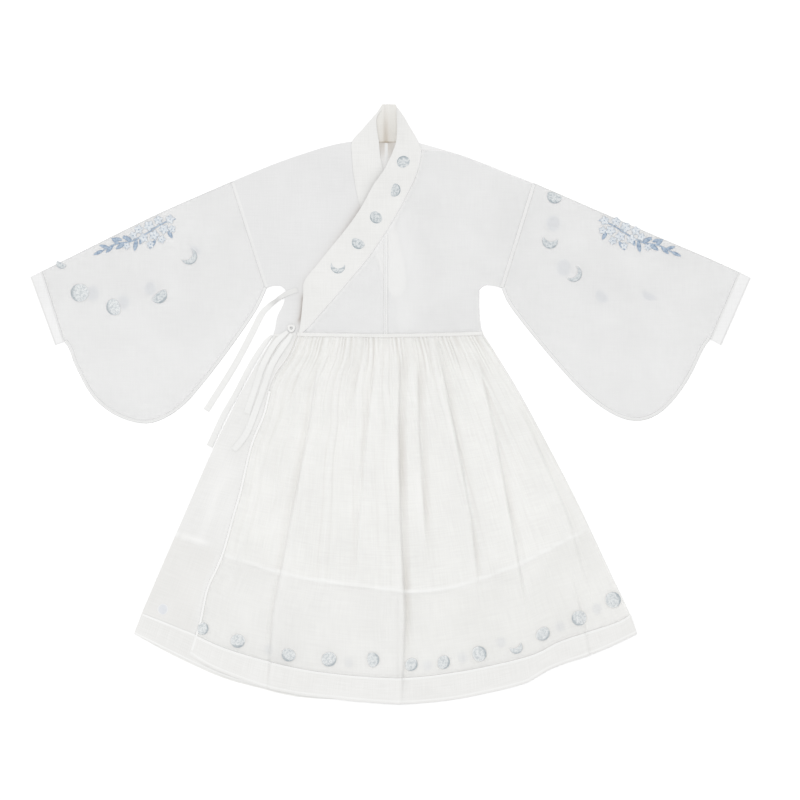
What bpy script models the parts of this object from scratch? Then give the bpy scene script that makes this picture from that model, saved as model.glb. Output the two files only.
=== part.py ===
"""Hanfu robe of sheer white cloth, laid flat on its back with its sleeves spread.

It has a crossed collar, wide sleeves with a rounded lower curve and a narrow cuff band, a bodice
seamed down the middle, a gathered wrap skirt over a shorter lining, hem bands and four narrow ties.

Lengths are in millimetres until a mesh is made. X runs to the wearer's left, Y from the hem to the
collar and Z up from the floor. Left and right in names are the wearer's. The outer front is the
wearer's left one: it crosses over the right one, which lies beneath it.
"""

import math

import bmesh
import bpy

MM = 0.001

# The stack of cloth on the floor
WALL = 1.2
GAP = 0.3
LEVEL = WALL + GAP

# Where the pieces meet: the waist seam, the centre seam, the neck seam at the back and the free
# edge of the hidden half of the skirt
WAIST_Y = 145
CENTRE_X = -10
NECK_SEAM_Y = 562
NECK_SEAM_ENDS = (-76, 50)
HIDDEN_EDGE_X = 14
HEM_SEAM_GAP = 0.5
LINING_INSET = 5
LAP_CORNER = 0.12

# The outer front steps down past the layer beneath it over LAP_RAMP. Both fronts rise to the
# gathered waist between these distances above the seam.
LAP_MARGIN = 3
LAP_RAMP = 60
RISE_START = 48
RISE_END = 4

# Gathers in the skirt's waist
GATHERS = 42
GATHER_COLUMNS = 3
GATHER_HEIGHT = 1.1
GATHER_LENGTH = 58
UNDER_COLUMNS = 40
UNDER_BAND_COLUMNS = 20

# Spans along the edges of the panels, and how their rows and columns are shared out
BACK_ROWS = 12
SHOULDER_SPANS = 7
UNDERARM_SPANS = 3
SIDE_SPANS = 5
LOW_EDGE_SPANS = 8
CENTRE_SPANS = 8
FREE_EDGE_SPANS = 4
COLLAR_SPANS = 4
BACK_SKIRT_ROWS = 10
BACK_SKIRT_COLUMNS = 14
SLEEVE_COLUMNS = 14
LINING_ROWS = 10
SLEEVE_DOWN = (0, 0.015, 0.2, 0.45, 0.7, 0.88, 1)
CUFF_DOWN = (0, 0.04, 0.35, 0.7, 1)
FRONT_ACROSS = (0, 0.05, 0.1, 0.15, 0.21, 0.27, 0.34, 0.45, 0.6, 0.8, 1)
UNDER_SKIRT_DOWN = (0, 0.03, 0.07, 0.13, 0.22, 0.4, 0.6, 0.8, 1)
OVER_SKIRT_DOWN = (0, 0.015, 0.035, 0.065, 0.11, 0.18, 0.28, 0.4, 0.55, 0.7, 0.85, 1)
LINING_ACROSS = (0, 0.15, 0.3, 0.42, 0.48, 0.51, 0.54, 0.57, 0.6, 0.64, 0.7, 0.8, 0.9, 1)
FOLD_TURNS = (-60, 0, 60)

# A tie's cloth and the small ring that two of them are knotted in
TIE_STEPS = 3
KNOT_CENTRE = (-213, 163, 6.6)
KNOT_RADIUS = 7.0
KNOT_THICK = 3.0
KNOT_FLATNESS = 0.75
KNOT_SIDES = 8
KNOT_STEPS = 16

# Steps of a smooth curve from one point of a table to the next
CURVE_STEPS = 6

# Outlines of the bodice, from the neck outwards and downwards
SHOULDER_RIGHT = [(-83, 564), (-130, 555), (-195, 535), (-259, 512), (-340, 478)]
SHOULDER_LEFT = [(66, 560), (128, 542), (192, 520), (257, 494), (309, 474)]
ARMHOLE_RIGHT = [(-340, 478), (-266, 249)]
ARMHOLE_LEFT = [(309, 474), (239, 249)]
UNDERARM_RIGHT = [(-266, 249), (-254, 254), (-236, 254), (-225, 245)]
UNDERARM_LEFT = [(239, 249), (225, 253), (204, 255), (191, 245)]
SIDE_RIGHT = [(-225, 245), (-230, 215), (-243, 189), (-247, 166), (-252, 146)]
SIDE_LEFT = [(191, 245), (191, 204), (194, 168), (199, 150)]
WAIST = [(-252, 146), (-195, 149), (-102, 146), (CENTRE_X, WAIST_Y), (106, 147), (199, 150)]
WRAP_START = (-201, 148)
LAP_START = (-189, 149.3)

# Sleeves: the fold along the top, from the armhole, and the lower curve back from the armhole
SLEEVE_TOP_RIGHT = [(-340, 478), (-485, 415), (-582, 368), (-678, 320), (-749, 285)]
SLEEVE_TOP_LEFT = [(309, 474), (450, 413), (579, 357), (676, 316), (749, 283)]
SLEEVE_LOW_RIGHT = [
    (-266, 249), (-291, 198), (-356, 105), (-420, 24), (-453, -9), (-485, -30), (-517, -41),
    (-549, -39), (-582, -28), (-614, -9), (-646, 24), (-678, 84), (-690, 118), (-701, 134),
]
SLEEVE_LOW_LEFT = [
    (239, 249), (257, 211), (321, 129), (386, 54), (418, 22), (450, -4), (483, -24),
    (515, -35), (547, -34), (579, -19), (612, 13), (644, 60), (672, 118), (687, 139),
]
CUFF_OPEN_RIGHT = [(-774, 273), (-721, 127)]
CUFF_OPEN_LEFT = [(774, 271), (711, 127)]

# Collar bands, as pairs of points across the band from the top fold down: the outer edge is the
# one sewn to the front, the inner edge the free one
OVER_BAND = [
    ((15, 637), (13, 633)), ((29, 617), (14, 608)), ((44, 591), (14, 587)), ((58, 567), (12, 563)),
    ((66, 546), (5, 542)), ((63, 520), (-4, 522)), ((54, 490), (-15, 501)), ((40, 460), (-38, 468)),
    ((16, 413), (-62, 424)), ((CENTRE_X, 370), (-91, 382)), ((-48, 314), (-130, 334)),
    ((-83, 272), (-158, 299)), ((-117, 232), (-185, 264)), ((-147, 198), (-188, 230)),
    ((-171, 170), (-193, 176)), ((-189, 153), (-197, 154)),
]
UNDER_BAND = [
    ((-20, 637), (-19, 633)), ((-40, 614), (-30, 614)), ((-61, 590), (-29, 590)),
    ((-83, 564), (-25, 565)), ((-84, 539), (-22, 532)), ((-80, 494), (-15, 501)),
    ((-72, 448), (-4, 458)), ((-64, 421), (3, 426)), ((-51, 370), (14, 370)),
    ((-29, 305), (30, 299)), ((-5, 245), (33, 250)), ((6, 227), (16, 229)),
]
NECK_START = 3
CENTRE_ROW = 9
BAND_STEPS = 2
COLLAR_BACK_LOW = [(-74, NECK_SEAM_Y), (CENTRE_X, NECK_SEAM_Y), (48, NECK_SEAM_Y)]
COLLAR_BACK_TOP = [(-17, 644), (11, 644)]
COLLAR_BACK_MIDDLE = [(-43, 606), (27, 606)]

# The inner front's free edge below its collar band
FRONT_EDGE = [(9, 190), (11, 160)]

# The free edge of the layer beneath the outer front, as height up the garment and place across
UNDER_EDGE = [
    (640, -19), (590, -29), (565, -25), (532, -22), (501, -15), (458, -4), (426, 3),
    (370, 14), (299, 30), (229, 33), (200, 25), (150, 16), (-660, HIDDEN_EDGE_X),
]

# Skirt outlines, from the waist down and from the wearer's right to the left
WRAP_EDGE = [
    WRAP_START, (-220, 103), (-246, 67), (-263, 28), (-276, -24), (-302, -88), (-324, -181),
    (-341, -241), (-362, -316), (-377, -353), (-397, -398), (-412, -469), (-420, -496),
]
SIDE_SKIRT_RIGHT = [
    (-252, 146), (-262, 126), (-282, 95), (-300, 63), (-337, -6), (-384, -103), (-440, -232),
    (-485, -335), (-534, -449),
]
SIDE_SKIRT_LEFT = [
    (199, 150), (229, 103), (276, 26), (332, -77), (399, -206), (472, -361), (515, -452),
]
BAND_LINE_OVER = [
    (-420, -496), (-354, -525), (-259, -553), (-154, -575), (10, -588), (147, -575),
    (296, -542), (369, -508), (481, -471), (515, -452),
]
BAND_LINE_UNDER = [
    (-534, -449), (-431, -490), (-356, -520), (-259, -550), (-154, -571), (HIDDEN_EDGE_X, -584),
]
BAND_LINE_BACK = [
    (-534, -449), (-431, -490), (-354, -521), (-259, -550), (-154, -571), (10, -584),
    (147, -571), (296, -538), (369, -506), (481, -469), (515, -452),
]
HEM_OVER = [
    (-433, -538), (-388, -565), (-324, -591), (-259, -612), (-195, -625), (-130, -632),
    (-66, -639), (31, -644), (128, -636), (225, -617), (289, -600), (312, -588), (354, -565),
    (450, -531), (530, -494),
]
HEM_UNDER = [
    (-551, -494), (-485, -527), (-420, -559), (-356, -586), (-291, -605), (-195, -627),
    (-100, -635), (HIDDEN_EDGE_X, -640),
]
HEM_BACK = [
    (-549, -495), (-485, -531), (-420, -563), (-356, -590), (-291, -608), (-195, -630),
    (-66, -636), (31, -640), (128, -632), (225, -613), (289, -596), (354, -561), (450, -527),
    (527, -492),
]
LINING_END_OVER = [
    (-358, -328), (-246, -363), (-171, -381), (-31, -398), (31, -406), (111, -402),
    (184, -383), (266, -353), (332, -320), (390, -290), (427, -271),
]
LINING_END_UNDER = [(-453, -281), (-369, -318), (-246, -357), (-171, -376), (10, -398)]

# A soft ridge down the half of the skirt that lies beneath, as height up and place across
UNDER_RIDGE = [(60, -292), (-112, -337), (-191, -373), (-330, -420)]
UNDER_RIDGE_RISE = 1.6
UNDER_RIDGE_WIDTH = 12

# Main folds of the outer skirt. Each crest's place across is given at five heights of the
# garment. It falls steeply on one side (-1 towards the wearer's right) and softly on the other.
FOLD_HEIGHTS = (140, -50, -250, -450, -640)
FOLDS = [
    # name, places across, steep side, rise, steep width, soft width, start, end
    ("wrap ridge", (-152, -232, -300, -350, -400), -1, 2.0, 14, 40, 130, -120),
    ("wrap fold", (-142, -168, -208, -246, -258), -1, 6.0, 14, 62, 120, -700),
    ("short fold", (-50, -84, -112, -140, -150), -1, 3.4, 13, 34, 135, -95),
    ("inner fold", (-22, -44, -62, -68, -72), -1, 3.2, 12, 46, 125, -400),
    ("middle fold", (16, 12, 16, 26, 19), 1, 6.2, 14, 40, 135, -700),
    ("first left fold", (52, 56, 68, 82, 92), 1, 3.4, 12, 26, 120, -360),
    ("second left fold", (92, 130, 168, 188, 200), 1, 5.0, 14, 42, 135, -450),
    ("short left fold", (132, 160, 186, 210, 230), 1, 2.6, 12, 22, 130, 40),
    ("third left fold", (172, 216, 252, 288, 300), 1, 4.8, 14, 40, 120, -500),
    ("side fold", (190, 290, 375, 430, 470), 1, 2.4, 14, 44, 30, -480),
    ("hem wave", (250, 300, 350, 402, 440), 1, 2.6, 16, 50, -330, -700),
]

# Ties: place across, up and above the floor, then width
TIE_SIDE_UPPER = [
    (-200, 245, 3.0, 10), (-216, 240, 3.0, 11), (-234, 231, 3.0, 9), (-246, 222, 1.4, 8),
    (-260, 211, 0.0, 11), (-277, 193, 0.0, 13), (-298, 152, 0.0, 13.5), (-336, 81, 0.0, 13.5),
    (-396, -14, 0.0, 13.5),
]
TIE_SIDE_LOWER = [
    (-254.8, 147.6, 0.0, 5), (-269.5, 131, 0.0, 10), (-293, 95, 0.0, 12), (-311, 63, 0.0, 12),
    (-331, 24, 0.0, 12), (-348, -6, 0.0, 12.5), (-361, -30, 0.0, 13), (-389, -91, 0.0, 13.5),
]
TIE_WAIST_SHORT = [
    (-220.5, 155.5, 5.9, 7), (-238, 141, 5.8, 12), (-252, 124, 5.6, 13), (-271, 90, 5.0, 13),
    (-280, 67, 4.6, 13), (-292, 30, 4.6, 13), (-309, -20, 4.6, 13.5),
]
TIE_WAIST_LONG = [
    (-212, 150.4, 5.9, 7), (-222, 135, 5.8, 12), (-235, 117, 5.6, 13), (-254, 86, 5.0, 13),
    (-264, 60, 4.6, 13), (-274, 30, 4.6, 13), (-284, 2, 4.6, 13), (-309, -62, 4.6, 13.5),
    (-337, -99, 4.6, 13.5),
]

SHEER_GREY = (0.86, 0.86, 0.87)
WARM_WHITE = (0.90, 0.90, 0.88)
BAND_WHITE = (0.91, 0.91, 0.90)
LINING_WHITE = (0.93, 0.93, 0.91)


def smoothstep(low, high, value):
    """0 below low, 1 above high and a soft ramp between them."""
    t = min(max((value - low) / (high - low), 0.0), 1.0)
    return t * t * (3 - 2 * t)


def read_table(table, height):
    """The place across at a height, from rows of height and place that run downwards."""
    for (high, first), (low, second) in zip(table, table[1:]):
        if height >= low:
            t = min(max((high - height) / (high - low), 0.0), 1.0)
            return first + (second - first) * t
    return table[-1][1]


def smooth_line(points, steps):
    """A curve through the points, with so many steps from each point to the next."""
    line = []
    for i in range(len(points) - 1):
        before = points[max(i - 1, 0)]
        start = points[i]
        end = points[i + 1]
        after = points[min(i + 2, len(points) - 1)]
        for step in range(steps):
            t = step / steps
            line.append(tuple(
                0.5 * (2 * b + (c - a) * t + (2 * a - 5 * b + 4 * c - d) * t * t
                       + (3 * b - a - 3 * c + d) * t * t * t)
                for a, b, c, d in zip(before, start, end, after)
            ))
    line.append(tuple(points[-1]))
    return line


def shares(line):
    """How far along the line each of its points lies, from 0 to 1."""
    lengths = [0.0]
    for a, b in zip(line, line[1:]):
        lengths.append(lengths[-1] + math.dist(a[:2], b[:2]))
    return [length / lengths[-1] for length in lengths]


def points_at(line, wanted):
    """Points at the wanted shares of a line's length."""
    along = shares(line)
    found = []
    for share in wanted:
        i = 1
        while i < len(along) - 1 and along[i] < share:
            i += 1
        t = (share - along[i - 1]) / (along[i] - along[i - 1])
        found.append(tuple(a + (b - a) * t for a, b in zip(line[i - 1], line[i])))
    return found


def even(count):
    return [i / count for i in range(count + 1)]


def spread(points, count):
    """So many equal spans along a smooth curve through the points."""
    return points_at(smooth_line(points, CURVE_STEPS), even(count))


def chained(*lines):
    """Lines end to end, without the points that they share."""
    whole = list(lines[0])
    for line in lines[1:]:
        whole += line[1:]
    return whole


def moved(line, across, up=0.0):
    return [(x + across, y + up) for x, y in line]


def between(left, right, top, bottom):
    """Rows of points that fill the space between four edges, from the top row down."""
    down = [(a + b) / 2 for a, b in zip(shares(left), shares(right))]
    over = [(a + b) / 2 for a, b in zip(shares(top), shares(bottom))]
    rows = []
    for i, v in enumerate(down):
        row = []
        for j, u in enumerate(over):
            row.append(tuple(
                (1 - u) * left[i][k] + u * right[i][k] + (1 - v) * top[j][k] + v * bottom[j][k]
                - (1 - u) * (1 - v) * top[0][k] - u * (1 - v) * top[-1][k]
                - (1 - u) * v * bottom[0][k] - u * v * bottom[-1][k]
                for k in range(2)
            ))
        rows.append(row)
    return rows


def cloth_material(name, colour):
    material = bpy.data.materials.new(name)
    material.use_nodes = True
    shader = material.node_tree.nodes["Principled BSDF"]
    shader.inputs["Base Color"].default_value = (*colour, 1)
    shader.inputs["Roughness"].default_value = 0.85
    shader.inputs["Metallic"].default_value = 0.0
    return material


def finish_piece(name, bm, colour):
    """The mesh as a named object on the robe's parent, with its own material."""
    mesh = bpy.data.meshes.new(name)
    bm.to_mesh(mesh)
    bm.free()
    piece = bpy.data.objects.new(name, mesh)
    bpy.context.collection.objects.link(piece)
    piece.parent = robe
    mesh.materials.append(cloth_material(name + "_cloth", colour))
    mesh.shade_smooth()
    mesh.set_sharp_from_angle(angle=math.radians(50))
    return piece


def grid_mesh(rows):
    """A sheet with one vertex for each point of the rows."""
    bm = bmesh.new()
    down = len(rows) - 1
    over = len(rows[0]) - 1
    bmesh.ops.create_grid(bm, x_segments=over, y_segments=down, size=0.5)
    for vertex in bm.verts:
        j = round((vertex.co.x + 0.5) * over)
        i = round((0.5 - vertex.co.y) * down)
        x, y, z = rows[i][j]
        vertex.co = (x * MM, y * MM, z * MM)
    return bm


def sheet(name, rows, colour):
    """A wall of cloth whose lower face passes through the points."""
    bm = grid_mesh(rows)
    whole = bm.verts[:] + bm.edges[:] + bm.faces[:]
    raised = bmesh.ops.extrude_face_region(bm, geom=whole)["geom"]
    upper = [part for part in raised if isinstance(part, bmesh.types.BMVert)]
    bmesh.ops.translate(bm, verts=upper, vec=(0, 0, WALL * MM))
    bmesh.ops.recalc_face_normals(bm, faces=bm.faces[:])
    return finish_piece(name, bm, colour)


def lifted(rows, height):
    """The rows with the height above the floor that a rule gives at each point."""
    return [[(x, y, height(x, y)) for x, y in row] for row in rows]


def over_under_layer(x, y):
    """1 where the outer front lies on the layer beneath it, 0 clear of it."""
    edge = read_table(UNDER_EDGE, y) + LAP_MARGIN
    return 1 - smoothstep(edge, edge + LAP_RAMP, x)


def waist_rise(y):
    """1 at the waist seam, where both fronts are lifted by the gathered skirt, 0 above it."""
    return 1 - smoothstep(WAIST_Y + RISE_END, WAIST_Y + RISE_START, y)


def on_floor(x, y):
    return 0.0


def under_front_height(x, y):
    return LEVEL * (1 + waist_rise(y))


def over_front_height(x, y):
    return LEVEL * (1 + over_under_layer(x, y)) * (1 + waist_rise(y))


def over_lining_height(x, y):
    return LEVEL * (1 + 2 * over_under_layer(x, y))


def under_lining_height(x, y):
    return LEVEL


def under_skirt_height(x, y):
    return 2 * LEVEL


def folds_height(x, y):
    """The rise of the outer skirt's main folds at a point."""
    total = 0.0
    for _, places, side, rise, steep, soft, start, end in FOLDS:
        crest = read_table(list(zip(FOLD_HEIGHTS, places)), y)
        away = (x - crest) * side
        shape = 1 - smoothstep(0, steep, away) if away > 0 else 1 - smoothstep(0, soft, -away)
        grow = 1 - smoothstep(start - 90, start, y)
        fade = smoothstep(end, end + 160, y)
        total += rise * shape * grow * fade
    return total


def over_skirt_height(x, y):
    """The height of the outer skirt without its gathers."""
    return over_front_height(x, y) + folds_height(x, y)


def gather_height(column, y):
    """The rise of the gather that a column of points follows, just below the waist."""
    number = column // GATHER_COLUMNS
    crest = 1.0 if column % GATHER_COLUMNS == 0 else 0.12
    rise = GATHER_HEIGHT * (1 + 0.35 * math.sin(1.7 * number) + 0.25 * math.sin(0.6 * number + 1))
    length = GATHER_LENGTH * (1 + 0.4 * math.sin(2.3 * number))
    depth = max(WAIST_Y - y, 0.0)
    start = 0.4 + 0.6 * smoothstep(0, 12, depth)
    return rise * crest * start * (1 - smoothstep(0.2 * length, length, depth))


def uneven(count):
    """Shares across the skirt's waist, with the gathers a little closer in some places."""
    return [t + 0.004 * math.sin(math.tau * 3 * t) * math.sin(math.pi * t) for t in even(count)]


def outer_side(armhole, underarm, side, spans):
    """The outer edge of a bodice panel, from the shoulder down to the waist."""
    upper = spans - UNDERARM_SPANS - SIDE_SPANS
    return chained(
        spread(armhole, upper), spread(underarm, UNDERARM_SPANS), spread(side, SIDE_SPANS))


def make_bodice_back():
    neck_y = NECK_SEAM_Y - GAP
    low_y = WAIST_Y + GAP
    low_spans = SHOULDER_SPANS + 2
    neck = [(CENTRE_X - GAP, neck_y), (NECK_SEAM_ENDS[0], neck_y)]
    top = (neck + spread(SHOULDER_RIGHT, SHOULDER_SPANS))[::-1]
    side = outer_side(ARMHOLE_RIGHT, UNDERARM_RIGHT, SIDE_RIGHT, BACK_ROWS)
    centre = spread([neck[0], (CENTRE_X - GAP, low_y)], BACK_ROWS)
    low = spread(moved([p for p in WAIST if p[0] <= CENTRE_X], 0, GAP), low_spans)
    low[0] = side[-1]
    low[-1] = centre[-1]
    sheet("back_right", lifted(between(side, centre, top, low), on_floor), SHEER_GREY)

    neck = [(CENTRE_X, neck_y), (NECK_SEAM_ENDS[1], neck_y)]
    top = neck + spread(SHOULDER_LEFT, SHOULDER_SPANS)
    side = outer_side(ARMHOLE_LEFT, UNDERARM_LEFT, SIDE_LEFT, BACK_ROWS)
    centre = spread([neck[0], (CENTRE_X, low_y)], BACK_ROWS)
    low = spread(moved([p for p in WAIST if p[0] >= CENTRE_X], 0, GAP), low_spans)
    low[0] = centre[-1]
    low[-1] = side[-1]
    sheet("back_left", lifted(between(centre, side, top, low), on_floor), SHEER_GREY)


def band_lines(band):
    """The two long edges of a collar band as smooth lines with matching points."""
    outer = smooth_line([pair[0] for pair in band], BAND_STEPS)
    inner = smooth_line([pair[1] for pair in band], BAND_STEPS)
    return outer, inner


def make_collar():
    outer, inner = band_lines(OVER_BAND)
    outer = moved(outer, -GAP, GAP)
    rows = [points_at([a, b], even(COLLAR_SPANS)) for a, b in zip(inner, outer)]
    sheet("over_collar", lifted(rows, over_front_height), BAND_WHITE)

    outer, inner = band_lines(UNDER_BAND)
    outer = moved(outer, 1.3 * GAP)
    rows = [points_at([a, b], even(COLLAR_SPANS)) for a, b in zip(outer, inner)]
    sheet("under_collar", lifted(rows, under_front_height), BAND_WHITE)

    low = spread(COLLAR_BACK_LOW, 2 * COLLAR_SPANS)
    top = spread(COLLAR_BACK_TOP, 2 * COLLAR_SPANS)
    left = spread([top[0], COLLAR_BACK_MIDDLE[0], low[0]], COLLAR_SPANS)
    right = spread([top[-1], COLLAR_BACK_MIDDLE[1], low[-1]], COLLAR_SPANS)
    sheet("collar_back", lifted(between(left, right, top, low), on_floor), BAND_WHITE)


def make_fronts():
    low_y = WAIST_Y + GAP
    neck = band_lines(UNDER_BAND)[0][NECK_START * BAND_STEPS:]
    inside = chained(neck, spread([neck[-1], *FRONT_EDGE, (FRONT_EDGE[-1][0], low_y)], FREE_EDGE_SPANS))
    outside = outer_side(ARMHOLE_RIGHT, UNDERARM_RIGHT, SIDE_RIGHT, len(inside) - 1)
    top = spread(SHOULDER_RIGHT, LOW_EDGE_SPANS)[::-1]
    top[-1] = inside[0]
    low = spread(moved(WAIST[:3], 0, GAP) + [inside[-1]], LOW_EDGE_SPANS)
    outside[-1] = low[0]
    rows = between(outside, inside, top, low)
    sheet("under_front", lifted(rows, under_front_height), SHEER_GREY)

    seam = band_lines(OVER_BAND)[0]
    centre_row = CENTRE_ROW * BAND_STEPS
    neck = seam[(NECK_START + 1) * BAND_STEPS:centre_row + 1]
    inside = chained(neck, spread([neck[-1], (CENTRE_X, low_y)], CENTRE_SPANS))
    outside = outer_side(ARMHOLE_LEFT, UNDERARM_LEFT, SIDE_LEFT, len(inside) - 1)
    top = points_at(smooth_line([neck[0]] + SHOULDER_LEFT[1:], CURVE_STEPS), FRONT_ACROSS)
    low = points_at(moved(WAIST[3:], 0, GAP), FRONT_ACROSS)
    outside[-1] = low[-1]
    rows = between(inside, outside, top, low)
    sheet("over_front", lifted(rows, over_front_height), SHEER_GREY)

    neck = seam[centre_row:]
    corner = tuple(a + LAP_CORNER * (b - a) for a, b in zip(neck[0], neck[1]))
    slope = [corner] + neck[1:-1] + [(neck[-1][0] + 1, neck[-1][1]), LAP_START]
    top = [corner, (CENTRE_X - GAP, corner[1])]
    centre = spread([top[-1], (CENTRE_X - GAP, low_y)], len(slope) - 1)
    low = spread([LAP_START, (WAIST[2][0], WAIST[2][1] + GAP), centre[-1]], LOW_EDGE_SPANS)
    rows = between(slope, centre, points_at(top, even(LOW_EDGE_SPANS)), low)
    sheet("over_front_lap", lifted(rows, over_front_height), SHEER_GREY)


def folded_tube(name, fold, low, start, end, colour):
    """Cloth folded over its top edge, back and front lying flat on each other."""
    rows = between(start, end, fold, low)
    radius = LEVEL / 2
    middle = WALL / 2 + radius
    points = []
    for row in rows[:0:-1]:
        points.append([(x, y, middle - radius) for x, y in row])
    for turn in FOLD_TURNS:
        line = []
        for (x, y), (x_low, y_low) in zip(rows[0], rows[1]):
            span = math.dist((x, y), (x_low, y_low))
            inward = radius * (1 - math.cos(math.radians(turn))) / span
            line.append((x + (x_low - x) * inward, y + (y_low - y) * inward,
                         middle + radius * math.sin(math.radians(turn))))
        points.append(line)
    for row in rows[1:]:
        points.append([(x, y, middle + radius) for x, y in row])
    piece = finish_piece(name, grid_mesh(points), colour)
    wall = piece.modifiers.new("cloth wall", "SOLIDIFY")
    wall.thickness = WALL * MM
    wall.offset = 0.0
    wall.use_even_offset = True
    return piece


def make_sleeve(side, top, lower, cuff_open, sign):
    """One sleeve and its cuff band, each folded over its top edge."""
    armhole = moved([top[0], lower[0]], sign * GAP)
    cuff_seam = [top[-1], lower[-1]]
    fold = spread([armhole[0]] + top[1:], SLEEVE_COLUMNS)
    curve = spread([armhole[1]] + lower[1:], SLEEVE_COLUMNS)
    folded_tube(side + "_sleeve", fold, curve, points_at(armhole, SLEEVE_DOWN),
                points_at(cuff_seam, SLEEVE_DOWN), SHEER_GREY)

    inner = moved(cuff_seam, sign * GAP)
    fold = points_at([inner[0], cuff_open[0]], even(2))
    low = points_at([inner[1], cuff_open[1]], even(2))
    folded_tube(side + "_cuff", fold, low, points_at(inner, CUFF_DOWN),
                points_at(cuff_open, CUFF_DOWN), BAND_WHITE)


def make_back_skirt():
    side = spread(SIDE_SKIRT_RIGHT, BACK_SKIRT_ROWS)
    other = spread(SIDE_SKIRT_LEFT, BACK_SKIRT_ROWS)
    top = spread(WAIST, BACK_SKIRT_COLUMNS)
    line = spread(BAND_LINE_BACK, BACK_SKIRT_COLUMNS)
    sheet("skirt_back", lifted(between(side, other, top, line), on_floor), WARM_WHITE)

    top = moved(line, 0, -GAP)
    low = spread(HEM_BACK, BACK_SKIRT_COLUMNS)
    side = points_at([top[0], low[0]], even(2))
    other = points_at([top[-1], low[-1]], even(2))
    sheet("hem_band_back", lifted(between(side, other, top, low), on_floor), BAND_WHITE)


def under_ridge_height(x, y):
    """The soft ridge down the lower half of the skirt, clear of the ties above it."""
    away = (x - read_table(UNDER_RIDGE, y)) / UNDER_RIDGE_WIDTH
    reach = smoothstep(-330, -250, y) * (1 - smoothstep(-190, -122, y))
    return UNDER_RIDGE_RISE * math.exp(-away * away) * reach


def under_gather_height(column, y):
    """The gathers of the lower half of the skirt, every second column of points raised."""
    crest = 1.0 if column % 2 == 0 else 0.1
    return GATHER_HEIGHT * crest * smoothstep(60, 130, y)


def make_under_skirt():
    edge = [(HIDDEN_EDGE_X, WAIST_Y), (HIDDEN_EDGE_X, BAND_LINE_UNDER[-1][1])]
    side = points_at(smooth_line(SIDE_SKIRT_RIGHT, CURVE_STEPS), UNDER_SKIRT_DOWN)
    waist = spread(WAIST[:3] + [edge[0]], UNDER_COLUMNS)
    line = spread(BAND_LINE_UNDER, UNDER_COLUMNS)
    wrap = [(y, x) for x, y in WRAP_EDGE]
    rows = []
    for row in between(side, points_at(edge, UNDER_SKIRT_DOWN), waist, line):
        raised = []
        for column, (x, y) in enumerate(row):
            cover = read_table(wrap, y)
            shown = 1 - smoothstep(cover - 16, cover - 4, x)
            rise = shown * (under_gather_height(column, y) + under_ridge_height(x, y))
            raised.append((x, y, 2 * LEVEL + rise))
        rows.append(raised)
    sheet("under_skirt", rows, WARM_WHITE)

    top = moved(spread(BAND_LINE_UNDER, UNDER_BAND_COLUMNS), 0, -GAP)
    low = spread(HEM_UNDER, UNDER_BAND_COLUMNS)
    side = points_at([top[0], low[0]], even(2))
    other = points_at([top[-1], low[-1]], even(2))
    rows = lifted(between(side, other, top, low), under_skirt_height)
    sheet("hem_band_under", rows, BAND_WHITE)

    side = moved([p for p in SIDE_SKIRT_RIGHT if p[1] > LINING_END_UNDER[0][1]], LINING_INSET)
    side = points_at(side + [LINING_END_UNDER[0]], even(LINING_ROWS))
    top = spread([side[0], (WAIST[2][0], WAIST_Y - 1), (LINING_END_UNDER[-1][0], WAIST_Y - 1)],
                 LOW_EDGE_SPANS)
    low = spread(LINING_END_UNDER, LOW_EDGE_SPANS)
    other = points_at([top[-1], low[-1]], even(LINING_ROWS))
    rows = between(side, other, top, low)
    sheet("under_skirt_lining", lifted(rows, under_lining_height), LINING_WHITE)


def make_over_skirt():
    columns = GATHERS * GATHER_COLUMNS
    across = uneven(columns)
    wrap = points_at(smooth_line(WRAP_EDGE, CURVE_STEPS), OVER_SKIRT_DOWN)
    side = points_at(smooth_line(SIDE_SKIRT_LEFT, CURVE_STEPS), OVER_SKIRT_DOWN)
    waist = smooth_line([WRAP_START] + WAIST[2:], CURVE_STEPS)
    line = points_at(smooth_line(BAND_LINE_OVER, CURVE_STEPS), across)
    rows = []
    for row in between(wrap, side, points_at(waist, across), line):
        rows.append([
            (x, y, over_skirt_height(x, y) + gather_height(column, y))
            for column, (x, y) in enumerate(row)
        ])
    sheet("over_skirt", rows, WARM_WHITE)

    top = moved(line[::2], 0, -HEM_SEAM_GAP)
    low = spread(HEM_OVER, columns // 2)
    left = points_at([top[0], low[0]], even(2))
    right = points_at([top[-1], low[-1]], even(2))
    rows = lifted(between(left, right, top, low), over_skirt_height)
    sheet("hem_band_over", rows, BAND_WHITE)

    left = moved([p for p in WRAP_EDGE if p[1] > LINING_END_OVER[0][1]], LINING_INSET)
    left = points_at(left + [LINING_END_OVER[0]], even(LINING_ROWS))
    right = moved([p for p in SIDE_SKIRT_LEFT if p[1] > LINING_END_OVER[-1][1]], -LINING_INSET)
    right = points_at(right + [LINING_END_OVER[-1]], even(LINING_ROWS))
    top = points_at([left[0], (CENTRE_X, WAIST_Y - 1), right[0]], LINING_ACROSS)
    low = points_at(smooth_line(LINING_END_OVER, CURVE_STEPS), LINING_ACROSS)
    rows = between(left, right, top, low)
    sheet("over_skirt_lining", lifted(rows, over_lining_height), LINING_WHITE)


def make_tie(name, route):
    """A flat tie along its route, each row of the table one place on its middle line."""
    line = smooth_line(route, TIE_STEPS)
    rows = []
    for i, (x, y, z, width) in enumerate(line):
        before = line[max(i - 1, 0)]
        after = line[min(i + 1, len(line) - 1)]
        length = math.dist(before[:2], after[:2])
        across = (before[1] - after[1]) / length
        up = (after[0] - before[0]) / length
        half = width / 2
        rows.append([(x - across * half, y - up * half, max(z, 0.0)),
                     (x + across * half, y + up * half, max(z, 0.0))])
    sheet(name, rows, BAND_WHITE)


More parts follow.
